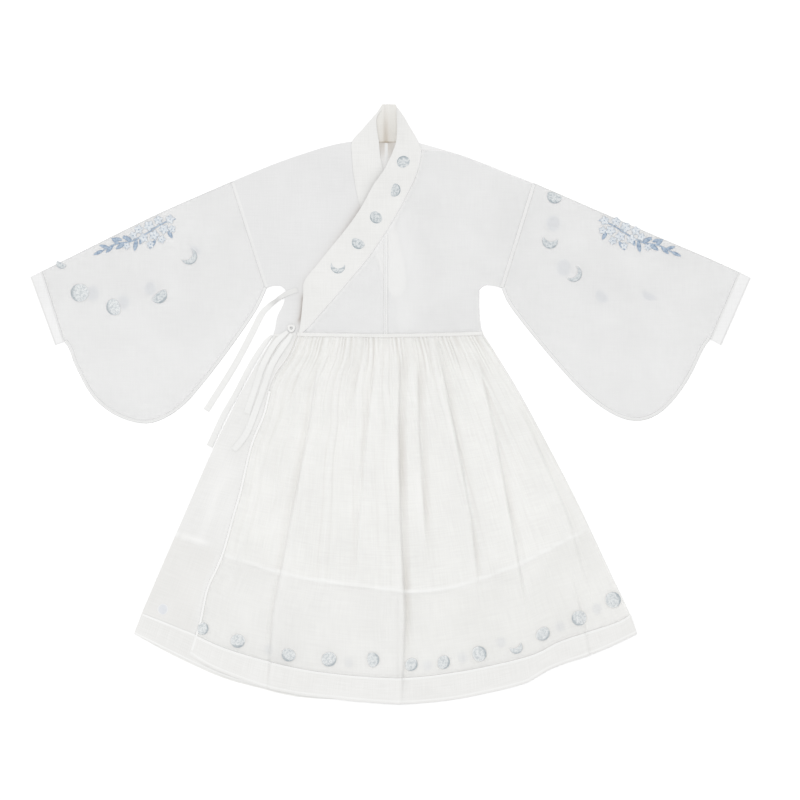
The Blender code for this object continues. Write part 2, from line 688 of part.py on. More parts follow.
def make_knot():
    bm = bmesh.new()
    ring = bmesh.ops.create_circle(bm, segments=KNOT_SIDES, radius=KNOT_THICK * MM)["verts"]
    for vertex in ring:
        x, y, _ = vertex.co
        vertex.co = (x + KNOT_RADIUS * MM, 0, KNOT_FLATNESS * y)
    bmesh.ops.spin(
        bm, geom=bm.verts[:] + bm.edges[:], cent=(0, 0, 0), axis=(0, 0, 1),
        angle=math.tau, steps=KNOT_STEPS, use_merge=True)
    bmesh.ops.translate(bm, verts=bm.verts[:], vec=[c * MM for c in KNOT_CENTRE])
    bmesh.ops.recalc_face_normals(bm, faces=bm.faces[:])
    finish_piece("waist_knot", bm, BAND_WHITE)


for old in list(bpy.data.objects):
    bpy.data.objects.remove(old)
robe = bpy.data.objects.new("robe", None)
bpy.context.collection.objects.link(robe)

make_bodice_back()
make_collar()
make_fronts()
make_sleeve("right", SLEEVE_TOP_RIGHT, SLEEVE_LOW_RIGHT, CUFF_OPEN_RIGHT, -1)
make_sleeve("left", SLEEVE_TOP_LEFT, SLEEVE_LOW_LEFT, CUFF_OPEN_LEFT, 1)
make_back_skirt()
make_under_skirt()
make_over_skirt()
make_tie("tie_side_upper", TIE_SIDE_UPPER)
make_tie("tie_side_lower", TIE_SIDE_LOWER)
make_tie("tie_waist_short", TIE_WAIST_SHORT)
make_tie("tie_waist_long", TIE_WAIST_LONG)
make_knot()
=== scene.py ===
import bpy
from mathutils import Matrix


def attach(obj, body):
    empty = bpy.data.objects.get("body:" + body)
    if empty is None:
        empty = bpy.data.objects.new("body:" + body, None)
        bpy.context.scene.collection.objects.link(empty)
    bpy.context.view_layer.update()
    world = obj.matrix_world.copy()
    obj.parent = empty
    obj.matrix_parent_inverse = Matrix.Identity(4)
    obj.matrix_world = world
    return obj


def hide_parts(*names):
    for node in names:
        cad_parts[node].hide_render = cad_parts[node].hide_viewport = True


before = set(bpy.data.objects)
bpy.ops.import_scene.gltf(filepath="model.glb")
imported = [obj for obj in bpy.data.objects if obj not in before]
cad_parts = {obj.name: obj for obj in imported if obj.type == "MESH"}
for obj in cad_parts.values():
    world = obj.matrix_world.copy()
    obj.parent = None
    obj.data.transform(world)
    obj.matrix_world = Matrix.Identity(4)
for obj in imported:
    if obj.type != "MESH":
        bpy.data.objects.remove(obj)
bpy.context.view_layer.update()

import math

import bmesh
import bpy
from mathutils import Vector
from mathutils.bvhtree import BVHTree

# ---- Table, camera and light ----
# A plain pale table top that the robe is laid out on, lit by an even white surround and one
# large soft lamp straight above. The camera hangs above the middle and looks straight down.
bpy.ops.mesh.primitive_plane_add(size=40, location=(0, 0, -0.0004))
table = bpy.context.object
table.name = "table_top"
table_paint = bpy.data.materials.new("table_white")
table_paint.use_nodes = True
table_shader = table_paint.node_tree.nodes["Principled BSDF"]
table_shader.inputs["Base Color"].default_value = (0.97, 0.97, 0.97, 1)
table_shader.inputs["Roughness"].default_value = 0.9
table_shader.inputs["Specular IOR Level"].default_value = 0.1
table.data.materials.append(table_paint)

surround = bpy.data.worlds.new("surround")
surround.use_nodes = True
surround.node_tree.nodes["Background"].inputs["Color"].default_value = (1, 1, 1, 1)
surround.node_tree.nodes["Background"].inputs["Strength"].default_value = 0.715
bpy.context.scene.world = surround
bpy.context.scene.view_settings.view_transform = "Standard"

lamp = bpy.data.lights.new("soft_lamp", "AREA")
lamp.shape = "DISK"
lamp.size = 2.2
lamp.energy = 365
soft_lamp = bpy.data.objects.new("soft_lamp", lamp)
soft_lamp.location = (-0.9, 1.2, 9.0)
soft_lamp.rotation_euler = (math.radians(-7.6), math.radians(-5.7), 0)
bpy.context.collection.objects.link(soft_lamp)

CAMERA_HEIGHT = 6.0
VIEW_WIDTH = 1.72
lens = bpy.data.cameras.new("view")
lens.sensor_width = 36
lens.lens = 36 * CAMERA_HEIGHT / VIEW_WIDTH
camera = bpy.data.objects.new("view", lens)
camera.location = (0.0204, 0.0086, CAMERA_HEIGHT)
bpy.context.collection.objects.link(camera)
bpy.context.scene.camera = camera

# ---- Back of the skirt ----
# One wide panel of fine white cloth that lies on the table, with a doubled hem band sewn along
# its lower edge. It is the layer that the sheer front panels are seen against.
MM = 0.001
LEVEL = 1.5
MIDDLE = 0.6
CLOTH = 0.45
WAIST_Y = 145
CENTRE_X = -10
HIDDEN_EDGE_X = 14
CURVE_STEPS = 6


def smoothstep(low, high, value):
    """0 below low, 1 above high and a soft ramp between them."""
    t = min(max((value - low) / (high - low), 0.0), 1.0)
    return t * t * (3 - 2 * t)


def read_table(table_rows, height):
    """The place across at a height, from rows of height and place that run downwards."""
    for (high, first), (low, second) in zip(table_rows, table_rows[1:]):
        if height >= low:
            t = min(max((high - height) / (high - low), 0.0), 1.0)
            return first + (second - first) * t
    return table_rows[-1][1]


def smooth_line(points, steps=CURVE_STEPS):
    """A curve through the points, with so many steps from each point to the next."""
    line = []
    for i in range(len(points) - 1):
        before = points[max(i - 1, 0)]
        after = points[min(i + 2, len(points) - 1)]
        for step in range(steps):
            t = step / steps
            line.append(tuple(
                0.5 * (2 * b + (c - a) * t + (2 * a - 5 * b + 4 * c - d) * t * t
                       + (3 * b - a - 3 * c + d) * t * t * t)
                for a, b, c, d in zip(before, points[i], points[i + 1], after)
            ))
    line.append(tuple(points[-1]))
    return line


def shares(line):
    """How far along the line each of its points lies, from 0 to 1."""
    lengths = [0.0]
    for a, b in zip(line, line[1:]):
        lengths.append(lengths[-1] + math.dist(a[:2], b[:2]))
    return [length / lengths[-1] for length in lengths]


def points_at(line, wanted):
    """Points at the wanted shares of a line's length, which rise from 0 to 1."""
    along = shares(line)
    found = []
    i = 1
    for share in wanted:
        while i < len(along) - 1 and along[i] < share:
            i += 1
        t = (share - along[i - 1]) / (along[i] - along[i - 1])
        found.append(tuple(a + (b - a) * t for a, b in zip(line[i - 1], line[i])))
    return found


def even(count, power=1.0):
    return [(i / count) ** power for i in range(count + 1)]


def spread(points, count):
    """So many equal spans along a smooth curve through the points."""
    return points_at(smooth_line(points), even(count))


def chained(*lines):
    """Lines end to end, without the points that they share."""
    whole = list(lines[0])
    for line in lines[1:]:
        whole += line[1:]
    return whole


def moved(line, across, up=0.0):
    return [(x + across, y + up) for x, y in line]


def between(left, right, top, bottom):
    """Rows of points that fill the space between four edges, from the top row down."""
    down = [(a + b) / 2 for a, b in zip(shares(left), shares(right))]
    over = [(a + b) / 2 for a, b in zip(shares(top), shares(bottom))]
    rows = []
    for i, v in enumerate(down):
        row = []
        for j, u in enumerate(over):
            row.append(tuple(
                (1 - u) * left[i][k] + u * right[i][k] + (1 - v) * top[j][k] + v * bottom[j][k]
                - (1 - u) * (1 - v) * top[0][k] - u * (1 - v) * top[-1][k]
                - (1 - u) * v * bottom[0][k] - u * v * bottom[-1][k]
                for k in range(2)
            ))
        rows.append(row)
    return rows


def lifted(rows, height, tone=None):
    """The rows with the height of the cloth's middle, and its tone of painted shade and light and
    of lighter layers, by rules for a point.
    """
    return [[(x, y, height(x, y) + MIDDLE, tone(x, y) if tone else 0.0) for x, y in row]
            for row in rows]


class Finish:
    """A new material, with short ways to add nodes and to join them."""

    def __init__(self, name, roughness, shine, sheen):
        self.material = bpy.data.materials.new(name)
        self.material.use_nodes = True
        self.nodes = self.material.node_tree.nodes
        self.shader = self.nodes["Principled BSDF"]
        self.shader.inputs["Roughness"].default_value = roughness
        self.shader.inputs["Specular IOR Level"].default_value = shine
        self.shader.inputs["Sheen Weight"].default_value = sheen

    def put(self, socket, value):
        """Joins a node's output to a socket, or sets the socket to a number or a colour."""
        if hasattr(value, "is_output"):
            self.material.node_tree.links.new(value, socket)
        elif socket.type == "RGBA":
            socket.default_value = (*value, 1)
        else:
            socket.default_value = value

    def node(self, kind, **inputs):
        made = self.nodes.new(kind)
        for label, value in inputs.items():
            self.put(made.inputs[label.replace("_", " ")], value)
        return made

    def map_of(self, name):
        """The place that one of a piece's own maps gives."""
        made = self.nodes.new("ShaderNodeUVMap")
        made.uv_map = name
        return made.outputs["UV"]

    def figured(self, kind, first, second=0.0):
        made = self.nodes.new("ShaderNodeMath")
        made.operation = kind
        self.put(made.inputs[0], first)
        self.put(made.inputs[1], second)
        return made.outputs["Value"]

    def mixed(self, factor, first, second):
        made = self.nodes.new("ShaderNodeMix")
        made.data_type = "RGBA"
        for label, value in (("Factor", factor), ("A", first), ("B", second)):
            self.put(made.inputs[label], value)
        return made.outputs["Result"]

    def done(self, colour, relief, strength, distance):
        """Gives the shader its colour and its relief."""
        bump = self.node("ShaderNodeBump", Height=relief, Strength=strength, Distance=distance)
        self.put(self.shader.inputs["Base Color"], colour)
        self.put(self.shader.inputs["Normal"], bump.outputs["Normal"])
        return self.material


STITCH_WIDTH = 0.6
STITCHES_PER_METRE = 400


def cloth_finish(name, light, dark, see_through=1.0, threads=0.9, slubs=0.5, stitch=None,
                 painted_shade=None, crest=None):
    """Plain-woven cloth: two thread directions, thicker threads here and there, faint clouds.

    A stitch is how far in from the strip's edge a row of machine stitches runs. A piece's tone
    below 0 turns its colour towards a painted shade colour, for painted shade in folds and creases
    and painted shadow beside raised edges. Above 0 it turns it towards a crest colour, which is
    partly lighter doubled or layered cloth and partly painted light on fold crests."""
    cloth = Finish(name, 0.82, 0.18, 0.15)
    figured, mixed = cloth.figured, cloth.mixed
    cloth.shader.inputs["Sheen Roughness"].default_value = 0.45
    cloth.shader.inputs["Alpha"].default_value = see_through
    place = cloth.map_of("threads")

    def streaks(across, along, detail):
        stretch = cloth.node("ShaderNodeMapping", Scale=(across, along, 1), Vector=place)
        noise = cloth.node("ShaderNodeTexNoise", Scale=1.0, Detail=detail,
                           Vector=stretch.outputs["Vector"])
        return noise.outputs["Fac"]

    def thread_rows(direction):
        wave = cloth.node("ShaderNodeTexWave", Scale=math.tau / (20 * threads * MM), Vector=place)
        wave.bands_direction = direction
        return wave.outputs["Fac"]

    warp = streaks(430, 22, 0.0)
    weft = streaks(22, 430, 0.0)
    clouds = streaks(9, 9, 2.0)
    uneven = figured("ADD", figured("MULTIPLY", figured("ADD", warp, weft), slubs), clouds)
    spread_out = cloth.node("ShaderNodeMapRange", From_Min=0.35 + 0.65 * slubs,
                            From_Max=0.65 + 1.35 * slubs, Value=uneven)
    colour = mixed(spread_out.outputs["Result"], dark, light)
    painted_light_and_layer_tone = cloth.nodes.new("ShaderNodeAttribute")
    painted_light_and_layer_tone.attribute_name = "painted_light_and_layer_tone"
    tone = painted_light_and_layer_tone.outputs["Fac"]
    # Below 0 the tone mixes in painted shade; above 0 lighter layered cloth and painted light on
    # crests.
    painted_shade = painted_shade or tuple(0.8 * value for value in dark)
    crest = crest or tuple(min(1.07 * value, 0.99) for value in light)
    for amount, shade in ((figured("MULTIPLY", tone, -1), painted_shade), (tone, crest)):
        colour = mixed(figured("MAXIMUM", figured("MINIMUM", amount, 1), 0), colour, shade)
    relief = figured("ADD", figured("MULTIPLY", thread_rows("X"), thread_rows("Y")),
                     figured("ADD", warp, weft))
    if stitch:
        split = cloth.node("ShaderNodeSeparateXYZ", Vector=place)
        away = figured("ABSOLUTE", figured("SUBTRACT", split.outputs["X"], stitch * MM))
        line = figured("LESS_THAN", away, STITCH_WIDTH / 2 * MM)
        step = figured("FRACT", figured("MULTIPLY", split.outputs["Y"], STITCHES_PER_METRE))
        dashes = figured("MULTIPLY", line, figured("LESS_THAN", step, 0.72))
        colour = mixed(dashes, colour, tuple(0.93 * value for value in dark))
        relief = figured("SUBTRACT", relief, figured("MULTIPLY", line, 0.8))
    return cloth.done(colour, relief, 0.35, 0.00025)


def add_cloth(bm, rows, cut=None):
    """Lays one panel of cloth into a mesh, through the points of the rows from the top down.

    Its threads follow x and y, or the rows and columns of a panel of the size given as cut.
    Its shape map tells how far across and down the panel a point lies. A fourth number in a
    point is its tone of painted shade and light and of lighter layers."""
    down = len(rows) - 1
    over = len(rows[0]) - 1
    layers = bm.loops.layers.uv
    threads = layers.get("threads") or layers.new("threads")
    shape = layers.get("shape") or layers.new("shape")
    tones = bm.verts.layers.float
    painted_light_and_layer_tone = tones.get("painted_light_and_layer_tone") or tones.new("painted_light_and_layer_tone")
    panel = bmesh.ops.create_grid(bm, x_segments=over, y_segments=down, size=0.5)["verts"]
    for vertex in panel:
        j = round((vertex.co.x + 0.5) * over)
        i = round((0.5 - vertex.co.y) * down)
        x, y, z, *tone = rows[i][j]
        vertex.co = (x * MM, y * MM, z * MM)
        vertex[painted_light_and_layer_tone] = tone[0] if tone else 0.0
        at = (j / over * cut[0], -i / down * cut[1]) if cut else (x * MM, y * MM)
        for loop in vertex.link_loops:
            loop[threads].uv = at
            loop[shape].uv = (j / over, i / down)


def finished(name, bm, finish, thick):
    """Turns the mesh in hand into a named piece with a thickness and a finish."""
    for face in bm.faces:
        face.smooth = True
    for edge in bm.edges:
        edge.smooth = not edge.is_boundary
    mesh = bpy.data.meshes.new(name)
    bm.to_mesh(mesh)
    bm.free()
    mesh.materials.append(finish)
    piece = bpy.data.objects.new(name, mesh)
    bpy.context.collection.objects.link(piece)
    if thick:
        wall = piece.modifiers.new("cloth thickness", "SOLIDIFY")
        wall.thickness = thick * MM
        wall.offset = 0.0
    return piece


def cloth_piece(name, rows, finish, cut=None, thick=CLOTH):
    """One panel of cloth as a thin shell about the points of the rows."""
    bm = bmesh.new()
    add_cloth(bm, rows, cut)
    return finished(name, bm, finish, thick)


def filed(piece, node, with_pieces=()):
    """Hangs the piece, and the pieces that go with it, on the root, and hides the part that it
    stands for.
    """
    for each in (piece, *with_pieces):
        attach(each, "root")
    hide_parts(node)


def top_of(*pieces):
    """A rule that gives the height of the finished pieces' upper side at a point."""
    view = bpy.context.evaluated_depsgraph_get()
    surfaces = [BVHTree.FromObject(piece, view) for piece in pieces]

    def height(x, y):
        above = Vector((x * MM, y * MM, 1.0))
        hits = [surface.ray_cast(above, Vector((0, 0, -1)))[0] for surface in surfaces]
        if not any(hits):
            beside_it = Vector((x * MM, y * MM, 2 * MM))
            hits = [surface.find_nearest(beside_it)[0] for surface in surfaces]
        return max(hit.z for hit in hits if hit) / MM

    return height


def beside(line, by):
    """The line moved sideways: up where it runs to the right, to the right where it runs down."""
    found = []
    for i, (x, y) in enumerate(line):
        a, b = line[max(i - 1, 0)], line[min(i + 1, len(line) - 1)]
        length = math.dist(a, b)
        found.append((x - (b[1] - a[1]) / length * by, y + (b[0] - a[0]) / length * by))
    return found


def sewn_strips(name, rest, strips, finish, clear=0.05, thick=0.16, pucker=0.0):
    """Narrow strips of cloth on the seams, each a line and a width, at the heights of rest."""
    bm = bmesh.new()
    for line, width in strips:
        length = sum(math.dist(a, b) for a, b in zip(line, line[1:]))
        line = points_at(line, even(max(int(length / 4), 2)))
        edges = [beside(line, width * t) for t in (-0.5, 0, 0.5)]
        rows = []
        for i in range(len(line)):
            lift = clear + thick / 2 + pucker * (0.5 + 0.5 * math.sin(2.1 * i))
            rows.append([(*edge[i], rest(*edge[i]) + lift) for edge in edges])
        add_cloth(bm, rows, cut=(width * MM, length * MM))
    return finished(name, bm, finish, thick)


WAIST = [(-252, 146), (-195, 149), (-102, 146), (CENTRE_X, WAIST_Y), (106, 147), (199, 150)]
SIDE_SKIRT_RIGHT = [
    (-252, 146), (-262, 126), (-282, 95), (-300, 63), (-337, -6), (-384, -103), (-440, -232),
    (-485, -335), (-534, -449),
]
SIDE_SKIRT_LEFT = [
    (199, 150), (229, 103), (276, 26), (332, -77), (399, -206), (472, -361), (515, -452),
]
BAND_LINE_BACK = [
    (-534, -449), (-431, -490), (-354, -521), (-259, -550), (-154, -571), (10, -584),
    (147, -571), (296, -538), (369, -506), (481, -469), (515, -452),
]
HEM_BACK = [
    (-549, -495), (-485, -531), (-420, -563), (-356, -590), (-291, -608), (-195, -630),
    (-66, -636), (31, -640), (128, -632), (225, -613), (289, -596), (354, -561), (450, -527),
    (527, -492),
]

SEAM_GAP = 0.3


def band_below(line, low, spans, gap=SEAM_GAP):
    """Rows of a hem band, from a panel's lower edge less the gap at the seam down to the hem."""
    top = moved(line, 0, -gap)
    ends = [points_at([top[end], low[end]], even(spans)) for end in (0, -1)]
    return between(*ends, top, low)


back_skirt_cloth = cloth_finish("back_skirt_gauze", (0.87, 0.868, 0.85), (0.81, 0.808, 0.79))
back_hem_cloth = cloth_finish("back_hem_cloth", (0.86, 0.857, 0.84), (0.80, 0.797, 0.78))


def on_table(x, y):
    return 0.0


side = spread(SIDE_SKIRT_RIGHT, 40)
other = spread(SIDE_SKIRT_LEFT, 40)
line = spread(BAND_LINE_BACK, 60)
rows = lifted(between(side, other, spread(WAIST, 60), line), on_table)
back_skirt = cloth_piece("back_skirt_cloth", rows, back_skirt_cloth, cut=(0.95, 0.73))
filed(back_skirt, "skirt_back")

rows = lifted(band_below(line, spread(HEM_BACK, 60), 6), on_table)
back_hem = cloth_piece("back_hem_cloth", rows, back_hem_cloth, cut=(1.1, 0.055))
filed(back_hem, "hem_band_back")

# ---- Back of the bodice ----
# Two halves of the same sheer cloth as the sleeves, seamed down the middle of the back. They
# show through the fronts and, at the neck, between the two collar bands.
NECK_SEAM_Y = 562
SHOULDER_RIGHT = [(-83, 564), (-130, 555), (-195, 535), (-259, 512), (-340, 478)]
SHOULDER_LEFT = [(66, 560), (128, 542), (192, 520), (257, 494), (309, 474)]
ARMHOLE_RIGHT = [(-340, 478), (-266, 249)]
ARMHOLE_LEFT = [(309, 474), (239, 249)]
UNDERARM_RIGHT = [(-266, 249), (-254, 254), (-236, 254), (-225, 245)]
UNDERARM_LEFT = [(239, 249), (225, 253), (204, 255), (191, 245)]
SIDE_RIGHT = [(-225, 245), (-230, 215), (-243, 189), (-247, 166), (-252, 146)]
SIDE_LEFT = [(191, 245), (191, 204), (194, 168), (199, 150)]

# The brown that its tone mixes in is painted shade, in the strip of the back between the collar
# bands.
back_gauze = cloth_finish("back_gauze", (0.785, 0.785, 0.783), (0.735, 0.735, 0.733),
                          painted_shade=(0.40, 0.34, 0.27))
seam_cloth = cloth_finish("seam_cloth", (0.755, 0.755, 0.75), (0.71, 0.71, 0.705), stitch=1.3)


def neck_hollow(x, y):
    """The shaded strip of the back that shows between the two collar bands."""
    away = abs(x - CENTRE_X)
    shade = 0.42 * smoothstep(515, 558, y) * smoothstep(1, 4, away) + 0.06 * smoothstep(480, 510, y)
    return -shade * (1 - smoothstep(12, 30, away))


def bodice_parts(armhole, underarm, side_edge, top, waist, inner, columns=90):
    """Rows for the two parts of a bodice panel, above and below its underarm.

    They run from the panel's outer edge to its inner one, and meet along one line."""
    turn = min(range(len(inner)), key=lambda i: abs(inner[i][1] - underarm[-1][1]))
    level = points_at([underarm[-1], inner[turn]], even(columns - 8))
    upper = between(spread(armhole, turn), inner[:turn + 1], points_at(top, even(columns)),
                    chained(spread(underarm, 8), level))
    lower = between(spread(side_edge, len(inner) - 1 - turn), inner[turn:], level,
                    points_at(waist, even(columns - 8)))
    return upper, lower


def bodice_piece(name, parts, finish, height, tone):
    """A bodice panel as one sheet of cloth that faces up, whichever way its rows run."""
    bm = bmesh.new()
    for part in parts:
        part = [row if row[0][0] < row[-1][0] else row[::-1] for row in part]
        add_cloth(bm, lifted(part, height, tone))
    bmesh.ops.remove_doubles(bm, verts=bm.verts[:], dist=0.01 * MM)
    return finished(name, bm, finish, CLOTH)


def back_half(name, shoulder, armhole, underarm, side_edge, waist, neck_end, centre):
    """One half of the bodice's back, from its armhole to the seam down the middle."""
    middle = spread([(centre, NECK_SEAM_Y), (centre, WAIST_Y)], 50)
    top = spread(shoulder, 20)[::-1] + [(neck_end, NECK_SEAM_Y), middle[0]]
    low = spread(waist + [middle[-1]], 20)
    parts = bodice_parts(armhole, underarm, side_edge, top, low, middle)
    return bodice_piece(name, parts, back_gauze, on_table, neck_hollow)


back_bodice_right = back_half("back_bodice_right_cloth", SHOULDER_RIGHT, ARMHOLE_RIGHT,
                              UNDERARM_RIGHT, SIDE_RIGHT, WAIST[:3], -76, CENTRE_X - SEAM_GAP)
filed(back_bodice_right, "back_right")
back_bodice_left = back_half("back_bodice_left_cloth", SHOULDER_LEFT, ARMHOLE_LEFT,
                             UNDERARM_LEFT, SIDE_LEFT, WAIST[:3:-1], 50, CENTRE_X)
centre_back_seam = sewn_strips("centre_back_seam", top_of(back_bodice_left, back_bodice_right),
                               [([(-8.2, 560), (-8.8, 150)], 4.4)], seam_cloth)
filed(back_bodice_left, "back_left",
      with_pieces=[centre_back_seam])

# ---- Sleeves and cuffs ----
# Each sleeve is one wide tube folded flat over its top edge, with a rounded lower curve. The cuff
# is a narrow doubled band, so it is whiter and less sheer than the sleeve.
SLEEVE_TOP_RIGHT = [(-340, 478), (-485, 415), (-582, 368), (-678, 320), (-749, 285)]
SLEEVE_TOP_LEFT = [(309, 474), (450, 413), (579, 357), (676, 316), (749, 283)]
SLEEVE_LOW_RIGHT = [
    (-266, 249), (-291, 198), (-356, 105), (-420, 24), (-453, -9), (-485, -30), (-517, -41),
    (-549, -39), (-582, -28), (-614, -9), (-646, 24), (-678, 84), (-690, 118), (-701, 134),
]
SLEEVE_LOW_LEFT = [
    (239, 249), (257, 211), (321, 129), (386, 54), (418, 22), (450, -4), (483, -24),
    (515, -35), (547, -34), (579, -19), (612, 13), (644, 60), (672, 118), (687, 139),
]
CUFF_OPEN_RIGHT = [(-774, 273), (-721, 127)]
CUFF_OPEN_LEFT = [(774, 271), (711, 127)]

sleeve_gauze = cloth_finish("sleeve_gauze", (0.94, 0.94, 0.94), (0.89, 0.89, 0.89), 0.35)
cuff_cloth = cloth_finish("cuff_cloth", (0.80, 0.80, 0.80), (0.745, 0.745, 0.745), threads=1.2)


def sleeve_tone(y):
    """Lighter towards the sleeve's lower curve."""
    return 0.2 * (1 - smoothstep(60, 300, y))


def folded_tube(name, fold, low_edge, start, end, finish):
    """Cloth folded over its top edge, back and front lying flat on each other."""
    flat = between(start, end, fold, low_edge)
    radius = LEVEL / 2
    middle_height = MIDDLE + radius
    points = [[(x, y, middle_height - radius, sleeve_tone(y)) for x, y in row]
              for row in flat[:0:-1]]
    for turn in (-60, -30, 0, 30, 60):
        bend = []
        for (x, y), (x_low, y_low) in zip(flat[0], flat[1]):
            span = math.dist((x, y), (x_low, y_low))
            inward = radius * (1 - math.cos(math.radians(turn))) / span
            bend.append((x + (x_low - x) * inward, y + (y_low - y) * inward,
                         middle_height + radius * math.sin(math.radians(turn)), 0.0))
        points.append(bend)
    for row in flat[1:]:
        points.append([(x, y, middle_height + radius, sleeve_tone(y)) for x, y in row])
    bm = bmesh.new()
    add_cloth(bm, points)
    for face in bm.faces:
        face.material_index = int(face.calc_center_median().z < middle_height * MM)
    tube = finished(name, bm, finish, CLOTH)
    tube.data.materials.append(back_gauze if finish is sleeve_gauze else finish)
    return tube


def sleeve_parts(side_name, top_edge, lower, cuff_open, sign):
    """The sleeve with the seam along its lower curve, and the cuff, each a folded tube."""
    down = [0, 0.01, 0.03] + [0.03 + 0.97 * t for t in even(30)[1:]]
    armhole = moved([top_edge[0], lower[0]], sign * 0.3)
    cuff_seam = [top_edge[-1], lower[-1]]
    fold = spread([armhole[0]] + top_edge[1:], 50)
    curve = spread([armhole[1]] + lower[1:], 50)
    tube = folded_tube(side_name + "_sleeve_cloth", fold, curve, points_at(armhole, down),
                       points_at(cuff_seam, down), sleeve_gauze)
    curve_seam = sewn_strips(side_name + "_sleeve_curve_seam", top_of(tube),
                             [(beside(curve, sign * 3.4), 5.2)], seam_cloth)
    filed(tube, side_name + "_sleeve",
          [curve_seam])
    inner = moved(cuff_seam, sign * 0.3)
    down = [0, 0.04] + [0.04 + 0.96 * t for t in even(12)[1:]]
    fold = points_at([inner[0], cuff_open[0]], even(8))
    curve = points_at([inner[1], cuff_open[1]], even(8))
    cuff = folded_tube(side_name + "_cuff_cloth", fold, curve, points_at(inner, down),
                       points_at(cuff_open, down), cuff_cloth)
    cuff_seams = sewn_strips(side_name + "_cuff_seams", top_of(cuff, tube), [
        (moved(cuff_seam, sign * 2.4), 3.0), (moved(cuff_open, -sign * 2.2), 2.4)],
        seam_cloth, thick=0.2)
    filed(cuff, side_name + "_cuff",
          [cuff_seams])
    return tube


right_sleeve = sleeve_parts(
    "right", SLEEVE_TOP_RIGHT, SLEEVE_LOW_RIGHT, CUFF_OPEN_RIGHT, -1)
left_sleeve = sleeve_parts(
    "left", SLEEVE_TOP_LEFT, SLEEVE_LOW_LEFT, CUFF_OPEN_LEFT, 1)

# ---- Collar ----
# One long doubled band runs from the inner front round the neck to the outer front's side. It is
# denser than the bodice. At the neck its free edges stand a little clear of the layers below.
OVER_BAND = [
    ((15, 637), (13, 633)), ((29, 617), (14, 608)), ((44, 591), (14, 587)), ((58, 567), (12, 563)),
    ((66, 546), (5, 542)), ((63, 520), (-4, 522)), ((54, 490), (-15, 501)), ((40, 460), (-38, 468)),
    ((16, 413), (-62, 424)), ((CENTRE_X, 370), (-91, 382)), ((-48, 314), (-130, 334)),
    ((-83, 272), (-158, 299)), ((-117, 232), (-185, 264)), ((-147, 198), (-188, 230)),
    ((-171, 170), (-193, 176)), ((-189, 153), (-197, 154)),
]
UNDER_BAND = [
    ((-20, 637), (-19, 633)), ((-40, 614), (-30, 614)), ((-61, 590), (-29, 590)),
    ((-83, 564), (-25, 565)), ((-84, 539), (-22, 532)), ((-80, 494), (-15, 501)),
    ((-72, 448), (-4, 458)), ((-64, 421), (3, 426)), ((-51, 370), (14, 370)),
    ((-29, 305), (30, 299)), ((-5, 245), (33, 250)), ((6, 227), (16, 229)),
]
COLLAR_BACK_LOW = [(-74, NECK_SEAM_Y), (CENTRE_X, NECK_SEAM_Y), (48, NECK_SEAM_Y)]
COLLAR_BACK_TOP = [(-17, 644), (11, 644)]
COLLAR_BACK_MIDDLE = [(-43, 606), (27, 606)]
UNDER_EDGE = [
    (640, -19), (590, -29), (565, -25), (532, -22), (501, -15), (458, -4), (426, 3),
    (370, 14), (299, 30), (229, 33), (200, 25), (150, 16), (-660, HIDDEN_EDGE_X),
]
LAP_MARGIN = 3
LAP_RAMP = 60
RISE_START = 48
RISE_END = 4

collar_cloth = cloth_finish("collar_cloth", (0.77, 0.768, 0.757), (0.72, 0.718, 0.706))
# The brown that the inside collar's tone mixes in is painted shade down the neckband's crease and
# at its seam.
inside_collar_cloth = cloth_finish("inside_collar_cloth", (0.76, 0.752, 0.725),
                                   (0.71, 0.70, 0.672), painted_shade=(0.36, 0.29, 0.21))


def over_under_layer(x, y):
    """1 where the outer front lies on the layer beneath it, 0 clear of it."""
    edge = read_table(UNDER_EDGE, y) + LAP_MARGIN
    return 1 - smoothstep(edge, edge + LAP_RAMP, x)


def waist_rise(y):
    """1 at the waist seam, where both fronts are lifted by the gathered skirt, 0 above it."""
    return 1 - smoothstep(WAIST_Y + RISE_END, WAIST_Y + RISE_START, y)


def under_front_height(x, y):
    return LEVEL * (1 + waist_rise(y))


def over_front_height(x, y):
    return LEVEL * (1 + over_under_layer(x, y)) * (1 + waist_rise(y))


def stand(y):
    """How far the outer collar band's free edge stands up above the layers below it."""
    return 7.0 * smoothstep(330, 450, y) * (1 - 0.6 * smoothstep(585, 640, y))


def shade_by(line, reach, deepest):
    """A painted shadow, as a tone, for cloth that lies in the shade of the edge that a line gives.
    """
    def tone(x, y):
        away = min(math.dist((x, y), point) for point in line)
        return -deepest * math.exp(-away / reach) * (0.3 + 0.7 * smoothstep(300, 420, y))
    return tone


def band_rows(band, shift, height, free_lift, tone=None, columns=12):
    """Rows across a collar band from its sewn edge to its free edge."""
    sewn = moved(smooth_line([pair[0] for pair in band], 6), *shift)
    free = smooth_line([pair[1] for pair in band], 6)
    found = []
    for a, b in zip(sewn, free):
        row = []
        for t, (x, y) in zip(even(columns), points_at([a, b], even(columns))):
            row.append((x, y, height(x, y) + MIDDLE + free_lift(x, y) * t ** 1.5,
                        tone(x, y) if tone else 0.0))
        found.append(row)
    return found


def under_free_lift(x, y):
    return 1.0 * smoothstep(505, 560, y) * (1 - 0.5 * smoothstep(600, 640, y))


def over_free_lift(x, y):
    corner = math.exp(-((x + 190) / 22) ** 2 - ((y - 205) / 28) ** 2)
    return stand(y) + 3.0 * corner


def neck_crease(x, y):
    """The crease down the middle of the neckband, between two soft swells."""
    away = abs(x - CENTRE_X)
    return 2.2 * smoothstep(0, 4.5, away) * (1 - smoothstep(5, 17, away))


